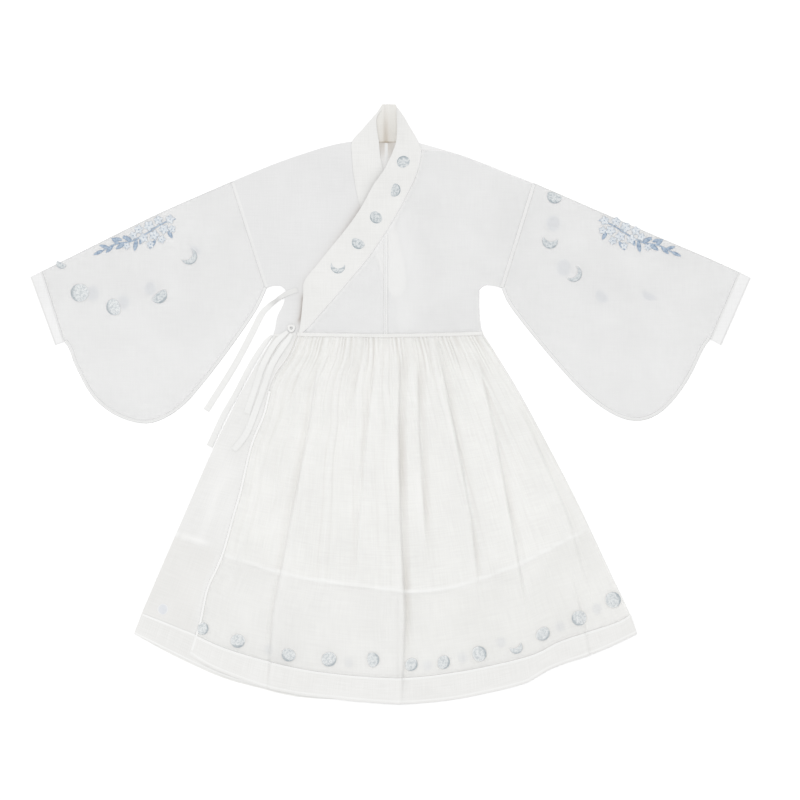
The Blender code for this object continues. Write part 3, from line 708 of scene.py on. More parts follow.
def neck_crease_tone(x, y):
    """The neckband's inside is shaded down its crease, more so towards its lower seam."""
    away = abs(x - CENTRE_X)
    low = 1 - smoothstep(552, 640, y)
    at_seam = 0.5 * math.exp(-((y - NECK_SEAM_Y) / 2.2) ** 2)
    return -(0.15 * low + 0.45 * low ** 0.7 * math.exp(-(away / 6.5) ** 2) + at_seam)


outer_free_edge = spread([pair[1] for pair in OVER_BAND], 150)
# Painted shadow from the outer collar's free edge on the inner collar and the inner front.
by_outer_collar = shade_by(outer_free_edge, 7, 0.6)

top = spread(COLLAR_BACK_TOP, 32)
low = spread(COLLAR_BACK_LOW, 32)
left = spread([top[0], COLLAR_BACK_MIDDLE[0], low[0]], 44)
right = spread([top[-1], COLLAR_BACK_MIDDLE[1], low[-1]], 44)
rows = lifted(between(left, right, top, low), neck_crease, neck_crease_tone)
back_collar = cloth_piece("back_collar_cloth", rows, inside_collar_cloth)
filed(back_collar, "collar_back")

rows = band_rows(UNDER_BAND, (0.4, 0), under_front_height, under_free_lift, by_outer_collar)
inner_collar = cloth_piece("inner_collar_cloth", rows, collar_cloth, thick=0.8)
filed(inner_collar, "under_collar")

rows = [row[::-1] for row in band_rows(OVER_BAND, (-0.3, 0.3), over_front_height, over_free_lift)]
outer_collar = cloth_piece("outer_collar_cloth", rows, collar_cloth, thick=0.8)
filed(outer_collar, "over_collar")

# ---- Fronts of the bodice ----
# Sheer plain-woven panels. The inner one ends at its free edge beneath the outer one, which
# crosses over it, with a seam down the middle line where its lap is joined on.
FRONT_EDGE = [(9, 190), (11, 160)]
LAP_START = (-189, 149.3)

front_gauze = cloth_finish("front_gauze", (0.94, 0.94, 0.94), (0.89, 0.89, 0.89), 0.35)
# The brown that its tone mixes in is painted shadow beside the outer collar and in the slit at the
# collar's end.
inner_front_gauze = cloth_finish("inner_front_gauze", (0.728, 0.728, 0.728),
                                 (0.688, 0.688, 0.688), painted_shade=(0.44, 0.40, 0.37))
inner_collar_outline = spread([pair[0] for pair in UNDER_BAND], 60) + spread(
    [pair[1] for pair in UNDER_BAND][::-1], 60)


def inside(outline, x, y):
    """Whether a point lies within a closed outline."""
    found = False
    for (x1, y1), (x2, y2) in zip(outline, outline[1:] + outline[:1]):
        if (y1 > y) != (y2 > y) and x < x1 + (x2 - x1) * (y - y1) / (y2 - y1):
            found = not found
    return found


def outer_front_tone(x, y):
    """Lighter where the inner collar lies behind the sheer cloth, and across the lap."""
    covered = sum(inside(inner_collar_outline, x + a, y + b)
                  for a, b in ((-2, 0), (2, 0), (0, -2), (0, 2))) / 4
    return 0.4 * covered + 0.5 * over_under_layer(x, y)


def inner_front_tone(x, y):
    """Shaded beside the outer collar, and deepest in the slit at the collar's end."""
    away = min(math.dist((x, y), point) for point in slit)
    return (by_outer_collar(x, y) - 0.55 * math.exp(-(away / 2.6) ** 2)
            - 0.25 * math.exp(-(away / 8) ** 2))


slit = spread([(-189, 230), (-189.5, 212), (-193, 190), (-197, 178)], 30)


neck = smooth_line([pair[0] for pair in UNDER_BAND], 6)[18:]
inner_edge = chained(neck, spread([neck[-1], *FRONT_EDGE, (FRONT_EDGE[-1][0], WAIST_Y + 0.3)],
                                  10))
low = spread([(-252, 146.3), (-195, 149.3), (-102, 146.3), inner_edge[-1]], 20)
parts = bodice_parts(ARMHOLE_RIGHT, UNDERARM_RIGHT, SIDE_RIGHT[:-1] + [low[0]],
                     spread(SHOULDER_RIGHT, 40)[::-1], low, inner_edge, columns=140)
inner_front = bodice_piece("inner_front_cloth", parts, inner_front_gauze, under_front_height,
                           inner_front_tone)


def below_over_front(x, y):
    return over_front_height(x, y) + MIDDLE - 0.8


inner_armhole_seam = sewn_strips(
    "right_armhole_seam", top_of(inner_front, right_sleeve),
    [([(-339, 476), (-266.5, 251)], 6.5)], seam_cloth)
filed(inner_front, "under_front",
      with_pieces=[inner_armhole_seam])

seam = smooth_line([pair[0] for pair in OVER_BAND], 6)
neck = seam[24:55]
inner_edge = chained(neck, spread([neck[-1], (CENTRE_X, WAIST_Y + 0.3)], 30))
low = [(199, 150.3), (106, 147.3), inner_edge[-1]]
parts = bodice_parts(ARMHOLE_LEFT, UNDERARM_LEFT, SIDE_LEFT[:-1] + [low[0]],
                     smooth_line([neck[0]] + SHOULDER_LEFT[1:])[::-1], low, inner_edge,
                     columns=120)
outer_front = bodice_piece("outer_front_cloth", parts, front_gauze, over_front_height,
                           outer_front_tone)

neck = seam[54:]
corner = tuple(a + 0.04 * (b - a) for a, b in zip(neck[0], neck[1]))
slope = [corner] + neck[1:-1] + [(neck[-1][0] + 1, neck[-1][1]), LAP_START]
top = points_at([corner, (CENTRE_X - 0.3, corner[1])], even(30))
middle = spread([top[-1], (CENTRE_X - 0.3, WAIST_Y + 0.3)], len(slope) - 1)
low = spread([LAP_START, (-102, 146.3), middle[-1]], 30)
rows = lifted(between(slope, middle, top, low), over_front_height, outer_front_tone)
outer_lap = cloth_piece("outer_lap_cloth", rows, front_gauze)

outer_allowance = sewn_strips(
    "outer_front_allowance", below_over_front,
    [(beside(seam[24:-3], 3.5), 9.5), (beside(smooth_line(SIDE_LEFT), -5.5), 9)],
    seam_cloth, clear=0)
centre_front_seam = sewn_strips("centre_front_seam", top_of(outer_front, outer_lap),
                                [([(-10.2, 366), (-10.2, 150)], 6.5)], seam_cloth)
outer_armhole_seam = sewn_strips(
    "left_armhole_seam", top_of(outer_front, left_sleeve),
    [([(308, 472), (239.5, 251)], 6.5)], seam_cloth)
filed(outer_front, "over_front",
      with_pieces=[outer_allowance, centre_front_seam, outer_armhole_seam])
filed(outer_lap, "over_front_lap")

# ---- Inner half of the skirt, with its lining ----
# A sheer gathered panel over a shorter plain lining. Only its strip beside the wrap's edge shows,
# so it has a few gathers, one soft ridge and its own hem band.
WRAP_EDGE = [
    (-201, 148), (-220, 103), (-246, 67), (-263, 28), (-276, -24), (-302, -88), (-324, -181),
    (-341, -241), (-362, -316), (-377, -353), (-397, -398), (-412, -469), (-420, -496),
]
BAND_LINE_UNDER = [
    (-534, -449), (-431, -490), (-356, -520), (-259, -550), (-154, -571), (HIDDEN_EDGE_X, -584),
]
HEM_UNDER = [
    (-551, -494), (-485, -527), (-420, -559), (-356, -586), (-291, -605), (-195, -627),
    (-100, -635), (HIDDEN_EDGE_X, -640),
]
LINING_END_UNDER = [(-453, -281), (-369, -318), (-246, -357), (-171, -376), (10, -398)]
UNDER_RIDGE = [(60, -292), (-112, -337), (-191, -373), (-330, -420)]
LINING_INSET = 5
WRAP_BY_HEIGHT = [(y, x) for x, y in WRAP_EDGE]

lining_cloth = cloth_finish("lining_cloth", (0.93, 0.929, 0.917), (0.88, 0.879, 0.867),
                            threads=0.7)
lining_hem_cloth = cloth_finish("lining_hem_cloth", (0.955, 0.955, 0.95), (0.92, 0.92, 0.915),
                                stitch=1.5)
# The beige that its tone mixes in is painted shade in the folds and between the gathers; the crest
# colour is partly doubled cloth and partly painted light.
skirt_gauze = cloth_finish("skirt_gauze", (0.968, 0.966, 0.953), (0.882, 0.88, 0.866), 0.38,
                           slubs=0.6, painted_shade=(0.67, 0.64, 0.595), crest=(0.99, 0.99, 0.985))
# Its tone mixes in painted light on its gathers and ridge and a darker colour towards the waist.
inner_skirt_gauze = cloth_finish("inner_skirt_gauze", (0.785, 0.783, 0.773),
                                 (0.73, 0.728, 0.717), painted_shade=(0.66, 0.645, 0.61),
                                 crest=(0.85, 0.848, 0.838))
skirt_seam_cloth = cloth_finish("skirt_seam_cloth", (0.85, 0.85, 0.84), (0.80, 0.80, 0.79),
                                stitch=1.3)
hem_cloth = cloth_finish("hem_cloth", (0.78, 0.777, 0.765), (0.72, 0.717, 0.702), slubs=0.8)


def under_gathers(u, y):
    """Short upright gathers below the waist seam, uneven in height."""
    crest = 0.5 + 0.5 * math.cos(math.tau * 20 * u)
    height = 1.0 + 0.3 * math.sin(31 * u)
    return height * crest * smoothstep(40, 130, y)


def lining_line_tone(x, y, lining_end, below):
    """Light along the lining's hem, which shows through, and another tone below it."""
    end = read_table(lining_end, -x)
    return 0.6 * math.exp(-((y - end - 4) / 3.4) ** 4) + below * (1 - smoothstep(-4, 0, y - end))


def under_skirt_relief(u, x, y):
    """The height of the inner half of the skirt, and its tone: painted light on its gathers and
    ridge, darker towards the waist, the lining's hem showing through, and lighter where the outer
    half covers it.
    """
    cover = read_table(WRAP_BY_HEIGHT, y)
    shown = 1 - smoothstep(cover - 16, cover - 4, x)
    away = (x - read_table(UNDER_RIDGE, y)) / 12
    ridge = 1.6 * math.exp(-away * away) * smoothstep(-330, -250, y)
    ridge *= 1 - smoothstep(-190, -122, y)
    gather = under_gathers(u, y)
    tone = 0.4 * gather + 0.2 * ridge - 0.3 * smoothstep(60, 130, y)
    tone += lining_line_tone(x, y, UNDER_LINING_LINE, -0.18)
    tone = tone * shown + 0.85 * smoothstep(cover + 2, cover + 12, x)
    return 2 * LEVEL + shown * (gather + ridge), tone


def raised_by_share(rows_flat, relief):
    """As lifted, for a rule that also reads how far across the panel a point lies."""
    found = []
    for row in rows_flat:
        raised = []
        for u, (x, y) in zip(even(len(row) - 1), row):
            height, tone = relief(u, x, y)
            raised.append((x, y, height + MIDDLE, tone))
        found.append(raised)
    return found


UNDER_LINING_LINE = [(-x, y) for x, y in LINING_END_UNDER]
side = points_at(smooth_line(SIDE_SKIRT_RIGHT), even(80, 1.3))
edge = points_at([(HIDDEN_EDGE_X, WAIST_Y), (HIDDEN_EDGE_X, -584)], even(80, 1.3))
waist = spread([(-252, 146), (-195, 149), (-102, 146), (HIDDEN_EDGE_X, WAIST_Y)], 160)
line = spread(BAND_LINE_UNDER, 160)
rows = raised_by_share(between(side, edge, waist, line), under_skirt_relief)
inner_skirt = cloth_piece("inner_skirt_cloth", rows, inner_skirt_gauze, cut=(0.5, 0.73))
inner_waist_seam = sewn_strips("inner_waist_seam", top_of(inner_front, inner_skirt),
                               [([(-250, 147.5), (-203, 150.5)], 6)], hem_cloth, pucker=0.3)
filed(inner_skirt, "under_skirt",
      [inner_waist_seam])

low = spread(HEM_UNDER, 160)
rows = lifted(band_below(line, low, 8), lambda x, y: 2 * LEVEL)
inner_hem = cloth_piece("inner_hem_cloth", rows, hem_cloth, cut=(0.58, 0.052))
inner_hem_seams = sewn_strips("inner_hem_seams", top_of(inner_hem), [
    (beside(line, -2.8), 4.6), (beside(low, 2.6), 3.6)], skirt_seam_cloth)
filed(inner_hem, "hem_band_under",
      with_pieces=[inner_hem_seams])

side = moved([p for p in SIDE_SKIRT_RIGHT if p[1] > LINING_END_UNDER[0][1]], LINING_INSET)
side = points_at(side + [LINING_END_UNDER[0]], even(30))
top = spread([side[0], (-102, WAIST_Y - 1), (10, WAIST_Y - 1)], 40)
low = spread(LINING_END_UNDER, 40)
other = points_at([top[-1], low[-1]], even(30))
rows = lifted(between(side, other, top, low), lambda x, y: LEVEL)
inner_lining = cloth_piece("inner_lining_cloth", rows, lining_cloth, cut=(0.42, 0.5))


def wavering(line, by):
    """The line moved inward, with the slight waver of a hem that was turned up by hand."""
    return [(x, y + 0.7 * math.sin(0.21 * x) + 0.5 * math.sin(0.083 * x + 1))
            for x, y in beside(line, by)]


inner_lining_hem = sewn_strips("inner_lining_hem", top_of(inner_lining),
                               [(wavering(low, 4.2), 7.0)], lining_hem_cloth, thick=0.2)
filed(inner_lining, "under_skirt_lining",
      with_pieces=[inner_lining_hem])

# ---- Outer half of the skirt, with its lining ----
# The wide wrap panel: sheer cloth drawn up in about 42 gathers at the waist, falling in long
# uneven folds, over a whiter lining that stops well above the hem band.
BAND_LINE_OVER = [
    (-420, -496), (-354, -525), (-259, -553), (-154, -575), (10, -588), (147, -575),
    (296, -542), (369, -508), (481, -471), (515, -452),
]
HEM_OVER = [
    (-433, -538), (-388, -565), (-324, -591), (-259, -612), (-195, -625), (-130, -632),
    (-66, -639), (31, -644), (128, -636), (225, -617), (289, -600), (312, -588), (354, -565),
    (450, -531), (530, -494),
]
LINING_END_OVER = [
    (-358, -328), (-246, -363), (-171, -381), (-31, -398), (31, -406), (111, -402),
    (184, -383), (266, -353), (332, -320), (390, -290), (427, -271),
]
FOLD_HEIGHTS = (140, -50, -250, -450, -640)
FOLDS = [
    # foot of the fold at each height, steep side, rise, soft width, start, end, groove, shade
    ((-166, -246, -314, -364, -414), -1, 2.2, 40, 130, -120, 0.3, 0.25),
    ((-152, -178, -218, -256, -268), -1, 6.2, 62, 120, -700, 0.8, 0.55),
    ((-60, -94, -122, -150, -160), -1, 3.8, 34, 135, -95, 0.7, 0.4),
    ((-31, -53, -71, -77, -81), -1, 3.6, 46, 125, -400, 0.7, 0.45),
    ((25, 21, 25, 35, 28), 1, 6.6, 40, 135, -700, 0.8, 1.3),
    ((61, 65, 77, 91, 101), 1, 3.8, 26, 120, -360, 0.7, 0.9),
    ((102, 140, 178, 198, 210), 1, 5.6, 42, 135, -450, 0.8, 0.6),
    ((141, 169, 195, 219, 239), 1, 3.0, 22, 130, 40, 0.6, 0.35),
    ((182, 226, 262, 298, 310), 1, 5.2, 40, 120, -500, 0.8, 0.55),
    ((202, 302, 387, 442, 482), 1, 2.6, 44, 30, -480, 0.5, 0.3),
    ((262, 312, 362, 414, 452), 1, 2.8, 50, -330, -700, 0.5, 0.35),
]
STEEP = 6.5
GATHERS = 42
FOLD_FEET = [list(zip(FOLD_HEIGHTS, feet)) for feet, *_ in FOLDS]
OVER_LINING_LINE = [(-x, y) for x, y in LINING_END_OVER]


def folds(x, y):
    """Height of the main folds at a point, with a narrow groove at the foot of each, and their
    tone:
    painted shade at the foot and beside it, and lighter beyond the steep side, partly doubled cloth
    and partly painted light.
    """
    total = 0.0
    tone = 0.0
    for number, (table_rows, fold) in enumerate(zip(FOLD_FEET, FOLDS)):
        _, sign, rise, soft, start, end, groove, shade = fold
        away = (read_table(table_rows, y) - x) * sign
        if away < -14 or away > soft + STEEP:
            continue
        if away < STEEP:
            shape = smoothstep(0, STEEP, away)
        else:
            shape = 1 - smoothstep(STEEP, STEEP + soft, away)
        cut = groove * math.exp(-((away + 1) / 3.0) ** 2)
        shown = (1 - smoothstep(start - 90, start, y)) * smoothstep(end, end + 160, y)
        total += (rise * shape - cut) * shown
        uneven = 0.6 + 0.4 * math.sin(y / 47 + 2.1 * number + 2)
        shade *= shown
        tone -= 0.45 * shade * uneven * math.exp(-((away - 0.5) / (4.5 + 3.5 * shade)) ** 2)
        tone -= 0.12 * shade * math.exp(-((away + 7) / 10) ** 2)
        tone += 0.45 * shade * uneven * math.exp(-((away - STEEP - 6) / 8) ** 2)
    return total, tone


def gathers(u, depth):
    """The gathers at the waist, each of its own height and length, and their tone: lighter on the
    crests, partly doubled cloth and partly painted light, and painted shade between them.
    """
    place = u * GATHERS + 0.3 * math.sin(47 * u + 1) + 0.2 * math.sin(101 * u)
    number = math.floor(place + 0.5)
    crest = (0.5 + 0.5 * math.cos(math.tau * place)) ** 1.4
    height = 1.5 * (1 + 0.35 * math.sin(1.7 * number) + 0.25 * math.sin(0.6 * number + 1))
    length = 75 * (1 + 0.5 * math.sin(2.3 * number))
    fade = 1 - smoothstep(0.15 * length, length, depth)
    tone = (1.1 * crest - 0.5) * fade * (0.55 + 0.45 * math.sin(1.1 * number + 2))
    return height * crest * (0.4 + 0.6 * smoothstep(0, 10, depth)) * fade, tone


def ridge_family(u, depth, count, tall, long, phase, contrast):
    """A row of ridges that run down from the gathers, each of its own height and length, with a
    tone that is painted light on their crests and painted shade between them.
    """
    place = u * count + 0.35 * math.sin(0.34 * count * u + phase)
    number = math.floor(place + 0.5)
    crest = (0.5 + 0.5 * math.cos(math.tau * place)) ** 1.2
    share = max(0.5 + 0.5 * math.sin(2.1 * number + phase) + 0.3 * math.sin(5.3 * number + 2), 0.0)
    length = long * (1 + 0.6 * math.sin(3.7 * number + phase))
    shown = smoothstep(6, 50, depth) * (1 - smoothstep(0.4 * length, length, depth))
    return tall * share * crest * shown, contrast * share * (crest - 0.42) * shown


def over_skirt_relief(u, x, y):
    """The height of the outer half of the skirt, and its tone: painted shade and light from its
    folds, gathers and ridges, a little darker just below the waist, and the lining's hem showing
    through.
    """
    depth = max(WAIST_Y - y, 0.0)
    parts = [folds(x, y), gathers(u, depth), ridge_family(u, depth, 67, 0.8, 360, 1, 0.17),
             ridge_family(u, depth, 29, 1.5, 480, 4, 0.27)]
    tone = sum(part[1] for part in parts) - 0.1 * (1 - smoothstep(40, 110, depth))
    in_from_edge = x - read_table(WRAP_BY_HEIGHT, y)
    settled = 2.2 - 1.4 * smoothstep(0, 6, in_from_edge) - 0.8 * smoothstep(6, 30, in_from_edge)
    return (over_front_height(x, y) + sum(part[0] for part in parts)
            - settled * smoothstep(8, 60, depth),
            tone + lining_line_tone(x, y, OVER_LINING_LINE, 0.16))


columns = GATHERS * 9
down = even(118, 1.25)
wrap = points_at(smooth_line(WRAP_EDGE), down)
side = points_at(smooth_line(SIDE_SKIRT_LEFT), down)
waist = points_at(smooth_line([(-201, 148), (-102, 146), (CENTRE_X, WAIST_Y), (106, 147),
                               (199, 150)]), even(columns))
line = points_at(smooth_line(BAND_LINE_OVER), even(columns))
rows = raised_by_share(between(wrap, side, waist, line), over_skirt_relief)
outer_skirt = cloth_piece("outer_skirt_cloth", rows, skirt_gauze, cut=(0.75, 0.73))

low = spread(HEM_OVER, columns)
rows = raised_by_share(band_below(line, low, 10, gap=0.5), over_skirt_relief)
outer_hem = cloth_piece("outer_hem_cloth", rows, hem_cloth, cut=(1.0, 0.055))
outer_hem_seams = sewn_strips("outer_hem_seams", top_of(outer_hem), [
    (beside(line, -2.8), 4.6), (beside(low, 5.5), 3.0)], skirt_seam_cloth)
filed(outer_hem, "hem_band_over",
      with_pieces=[outer_hem_seams])

waist_line = smooth_line([(-200, 150), (-102, 148), (CENTRE_X, 147), (106, 149), (198, 152)])
waist_seam = sewn_strips("waist_seam", top_of(outer_front, outer_lap, outer_skirt),
                         [(waist_line, 7.5)], hem_cloth, pucker=0.7)
wrap_hem = sewn_strips("wrap_edge_hem", top_of(outer_skirt, outer_hem),
                       [(beside(smooth_line(WRAP_EDGE[3:] + [(-430, -528)]), 3.2), 4.6)],
                       skirt_seam_cloth)
filed(outer_skirt, "over_skirt",
      [waist_seam, wrap_hem])


def over_lining_height(x, y):
    in_from_edge = x - read_table(WRAP_BY_HEIGHT, y)
    settled = 0.7 * (1 - smoothstep(5, 25, in_from_edge)) * smoothstep(8, 60, WAIST_Y - y)
    return LEVEL * (1 + 2 * over_under_layer(x, y)) - settled


left = moved([p for p in WRAP_EDGE if p[1] > LINING_END_OVER[0][1]], LINING_INSET)
left = points_at(left + [LINING_END_OVER[0]], even(40))
right = moved([p for p in SIDE_SKIRT_LEFT if p[1] > LINING_END_OVER[-1][1]], -LINING_INSET)
right = points_at(right + [LINING_END_OVER[-1]], even(40))
top = points_at([left[0], (CENTRE_X, WAIST_Y - 1), right[0]], even(100))
low = points_at(smooth_line(LINING_END_OVER), even(100))
rows = lifted(between(left, right, top, low), over_lining_height)
outer_lining = cloth_piece("outer_lining_cloth", rows, lining_cloth, cut=(0.7, 0.5))
outer_lining_hem = sewn_strips("outer_lining_hem", top_of(outer_lining),
                               [(wavering(low, 4.2), 7.0)], lining_hem_cloth, thick=0.2)
filed(outer_lining, "over_skirt_lining",
      with_pieces=[outer_lining_hem])

# ---- Ties ----
# Four narrow flat ties of the band cloth, stitched along their edges. Two come from the side
# seam and lie on the table, two from the wrap's corner lie on the skirt. All have free ends.
TIES = [
    # node, flat length, what it lies on, rows of place across, up and above the table, then width
    ("tie_side_upper", 0.33, ["table_top", "inner_front_cloth"], [
        (-200, 245, 3.0, 10), (-216, 240, 3.0, 11), (-234, 231, 3.0, 9), (-246, 222, 1.4, 8),
        (-260, 211, 0.0, 11), (-277, 193, 0.0, 13), (-298, 152, 0.0, 13.5), (-336, 81, 0.0, 13.5),
        (-396, -14, 0.0, 13.5)]),
    ("tie_side_lower", 0.28, ["table_top"], [
        (-254.8, 147.6, 0.0, 5), (-269.5, 131, 0.0, 10), (-293, 95, 0.0, 12), (-311, 63, 0.0, 12),
        (-331, 24, 0.0, 12), (-348, -6, 0.0, 12.5), (-361, -30, 0.0, 13), (-389, -91, 0.0, 13.5)]),
    ("tie_waist_short", 0.21, ["inner_skirt_cloth", "inner_front_cloth"], [
        (-220.5, 155.5, 5.9, 7), (-238, 141, 5.8, 12), (-252, 124, 5.6, 13), (-271, 90, 5.0, 13),
        (-280, 67, 4.6, 13), (-292, 30, 4.6, 13), (-309, -20, 4.6, 13.5)]),
    ("tie_waist_long", 0.28, ["inner_skirt_cloth"], [
        (-212, 150.4, 5.9, 7), (-222, 135, 5.8, 12), (-235, 117, 5.6, 13), (-254, 86, 5.0, 13),
        (-264, 60, 4.6, 13), (-274, 30, 4.6, 13), (-284, 2, 4.6, 13), (-309, -62, 4.6, 13.5),
        (-337, -99, 4.6, 13.5)]),
]
TIE_WIDTH = 0.0135
TIE_CROWN = 0.35

tie_cloth = cloth_finish("tie_cloth", (0.80, 0.80, 0.79), (0.745, 0.745, 0.735), threads=0.7)


def side_tie_tone(x):
    """Painted shade on the upper side tie: dim where it lies under the inner front, and darkest
    where it comes out from under it.
    """
    return -0.4 * smoothstep(-238, -226, x) - 0.9 * math.exp(-((x + 246) / 11) ** 2)


for node, flat_length, lies_on, route in TIES:
    line = smooth_line(route, 8)
    rows = []
    for i, (x, y, z, width) in enumerate(line):
        before = line[max(i - 1, 0)]
        after = line[min(i + 1, len(line) - 1)]
        length = math.dist(before[:2], after[:2])
        across = (before[1] - after[1]) / length
        up = (after[0] - before[0]) / length
        tone = side_tie_tone(x) if node == "tie_side_upper" else 0.0
        rows.append([(x + across * t * width, y + up * t * width,
                      max(z, 0.0) + MIDDLE + TIE_CROWN * (1 - (2 * t) ** 2), tone)
                     for t in (-0.5, -0.42, -0.2, 0, 0.2, 0.42, 0.5)])
    flat = (TIE_WIDTH, flat_length)
    tie = cloth_piece(node + "_cloth", rows, tie_cloth, cut=flat, thick=0.8)
    filed(tie, node)

# ---- Knot at the wrap's corner ----
# The two waist ties are drawn through a small ring of the same tie, sewn to the corner where the
# wrap closes.
KNOT_CENTRE = (-213, 163, 6.6)
KNOT_RADIUS = 5.9
KNOT_THICK = 3.1
KNOT_FLATNESS = 0.68

bm = bmesh.new()
profile = bmesh.ops.create_circle(bm, segments=14, radius=KNOT_THICK * MM)["verts"]
for vertex in profile:
    x, y, _ = vertex.co
    vertex.co = (x + KNOT_RADIUS * MM, 0, KNOT_FLATNESS * y)
bmesh.ops.spin(bm, geom=bm.verts[:] + bm.edges[:], cent=(0, 0, 0), axis=(0, 0, 1),
               angle=math.tau, steps=40, use_merge=True)
for vertex in bm.verts:
    turn = math.atan2(vertex.co.y, vertex.co.x)
    vertex.co *= 1 + 0.07 * math.sin(3 * turn) + 0.03 * math.sin(9 * turn)
threads = bm.loops.layers.uv.new("threads")
for face in bm.faces:
    for loop in face.loops:
        loop[threads].uv = (loop.vert.co.x, loop.vert.co.y)
bmesh.ops.translate(bm, verts=bm.verts[:], vec=[value * MM for value in KNOT_CENTRE])
bmesh.ops.recalc_face_normals(bm, faces=bm.faces[:])
knot = finished("waist_knot_cloth", bm, tie_cloth, 0)
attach(knot, "root")
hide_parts("waist_knot")

# ---- Embroidered moons ----
# Small moons in satin stitch, from a full disc to a thin crescent: five down the outer collar,
# some on the sleeves and a row above the hem. Paler ones are the layer below, seen through.
MOONS = {
    # place across and up, radius, phase (1 full, 0 half, below 0 a crescent), turn in degrees
    "collar": [
        (28, 519, 14, 0.75, -65), (7, 460, 14.5, 0.35, 165), (-30, 402, 14, 0.7, 45),
        (-68.5, 347.5, 14.5, 0.45, 62), (-113, 296, 15.5, -0.32, 84)],
    "right_sleeve": [
        (-498, 234, 17.5, 0.3, 128), (-433, 317, 17, -0.3, 135), (-707, 302, 11, 0.1, 64)],
    "right_sleeve_full": [(-668, 239, 19, 1, 0), (-592.5, 209, 18, 0.6, 20)],
    "left_sleeve": [
        (353, 447, 16, 0.4, 67), (343, 350.5, 16.5, -0.1, 82), (394, 280, 17, -0.4, 140)],
    "skirt": [
        (-404, -482.5, 12, 0.8, 170), (-328, -508.5, 14, 0.9, 95), (-218, -537.5, 14, 0.75, 55),
        (-132, -548, 14.5, 0.95, 115), (-40, -549.5, 14.5, 0.6, 190), (44, -559, 13, 0.8, 145),
        (113, -554.5, 13.5, 0.75, 160), (190, -537, 15, 0.85, 205), (270, -523, 12.5, -0.1, 115),
        (326, -492.5, 14.5, 0.65, 135), (405, -460, 14.5, 1, 50), (478, -421, 15.5, 0.95, 200)],
}
PALE_MOONS = {
    "right_sleeve": [(-640, 238, 18, 1, 0), (-574, 218, 17, 1, 0), (-516, 248, 16, 1, 0),
                     (-418, 333, 14, 0.5, 60)],
    "left_sleeve": [(350, 388, 19, 1, 0), (373, 293, 20, 1, 0), (456, 233, 18, 0.6, 50),
                    (558, 238, 18, 0.1, 65)],
    "inner_skirt": [(-489, -441, 12, 1, 0), (-262, -528, 12, 1, 0), (-90, -556, 11, 1, 0)],
    "back_skirt": [(80, -562, 12, 1, 0), (155, -545, 12, 1, 0), (238, -512, 12, 1, 0),
                   (365, -478, 12, 1, 0), (444, -440, 12, 1, 0)],
}


def moon(across, up, radius, phase, turn):
    """Rows of a moon from tip to tip, with the round limb on one side.

    A crescent's tips reach round past the middle, and its inner edge is a part of a circle."""
    cos, sin = math.cos(math.radians(turn)), math.sin(math.radians(turn))
    reach = math.radians(87 if phase > 0 else 112)
    tip_across, tip_up = -radius * math.cos(reach), radius * math.sin(reach)
    sunk = tip_across - phase * radius
    bite = (sunk ** 2 + tip_up ** 2) / (2 * sunk) if phase <= 0 else 0
    bite_reach = math.atan2(tip_up, bite - sunk)
    found = []
    for v in even(16):
        limb = reach * (1 - 2 * v)
        outer = (-radius * math.cos(limb), radius * math.sin(limb))
        if phase > 0:
            inner = (-phase * outer[0], outer[1])
        else:
            edge = bite_reach * (1 - 2 * v)
            inner = (phase * radius + bite * (1 - math.cos(edge)), bite * math.sin(edge))
        row = []
        for u in even(8):
            x, y = ((1 - u) * a + u * b for a, b in zip(outer, inner))
            row.append((across + x * cos - y * sin, up + x * sin + y * cos))
        found.append(row)
    return found


def stitched(name, rest, patches, finish, crown=0.35, clear=0.08, thick=0.25):
    """Embroidery: patches that swell a little above the cloth, joined as one piece."""
    bm = bmesh.new()
    for patch in patches:
        rows = []
        for v, flat_row in zip(even(len(patch) - 1), patch):
            row = []
            for u, (x, y) in zip(even(len(flat_row) - 1), flat_row):
                swell = crown * 16 * u * (1 - u) * v * (1 - v)
                row.append((x, y, rest(x, y) + clear + thick / 2 + swell))
            rows.append(row)
        add_cloth(bm, rows)
    piece = finished(name, bm, finish, thick)
    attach(piece, "root")
    return piece


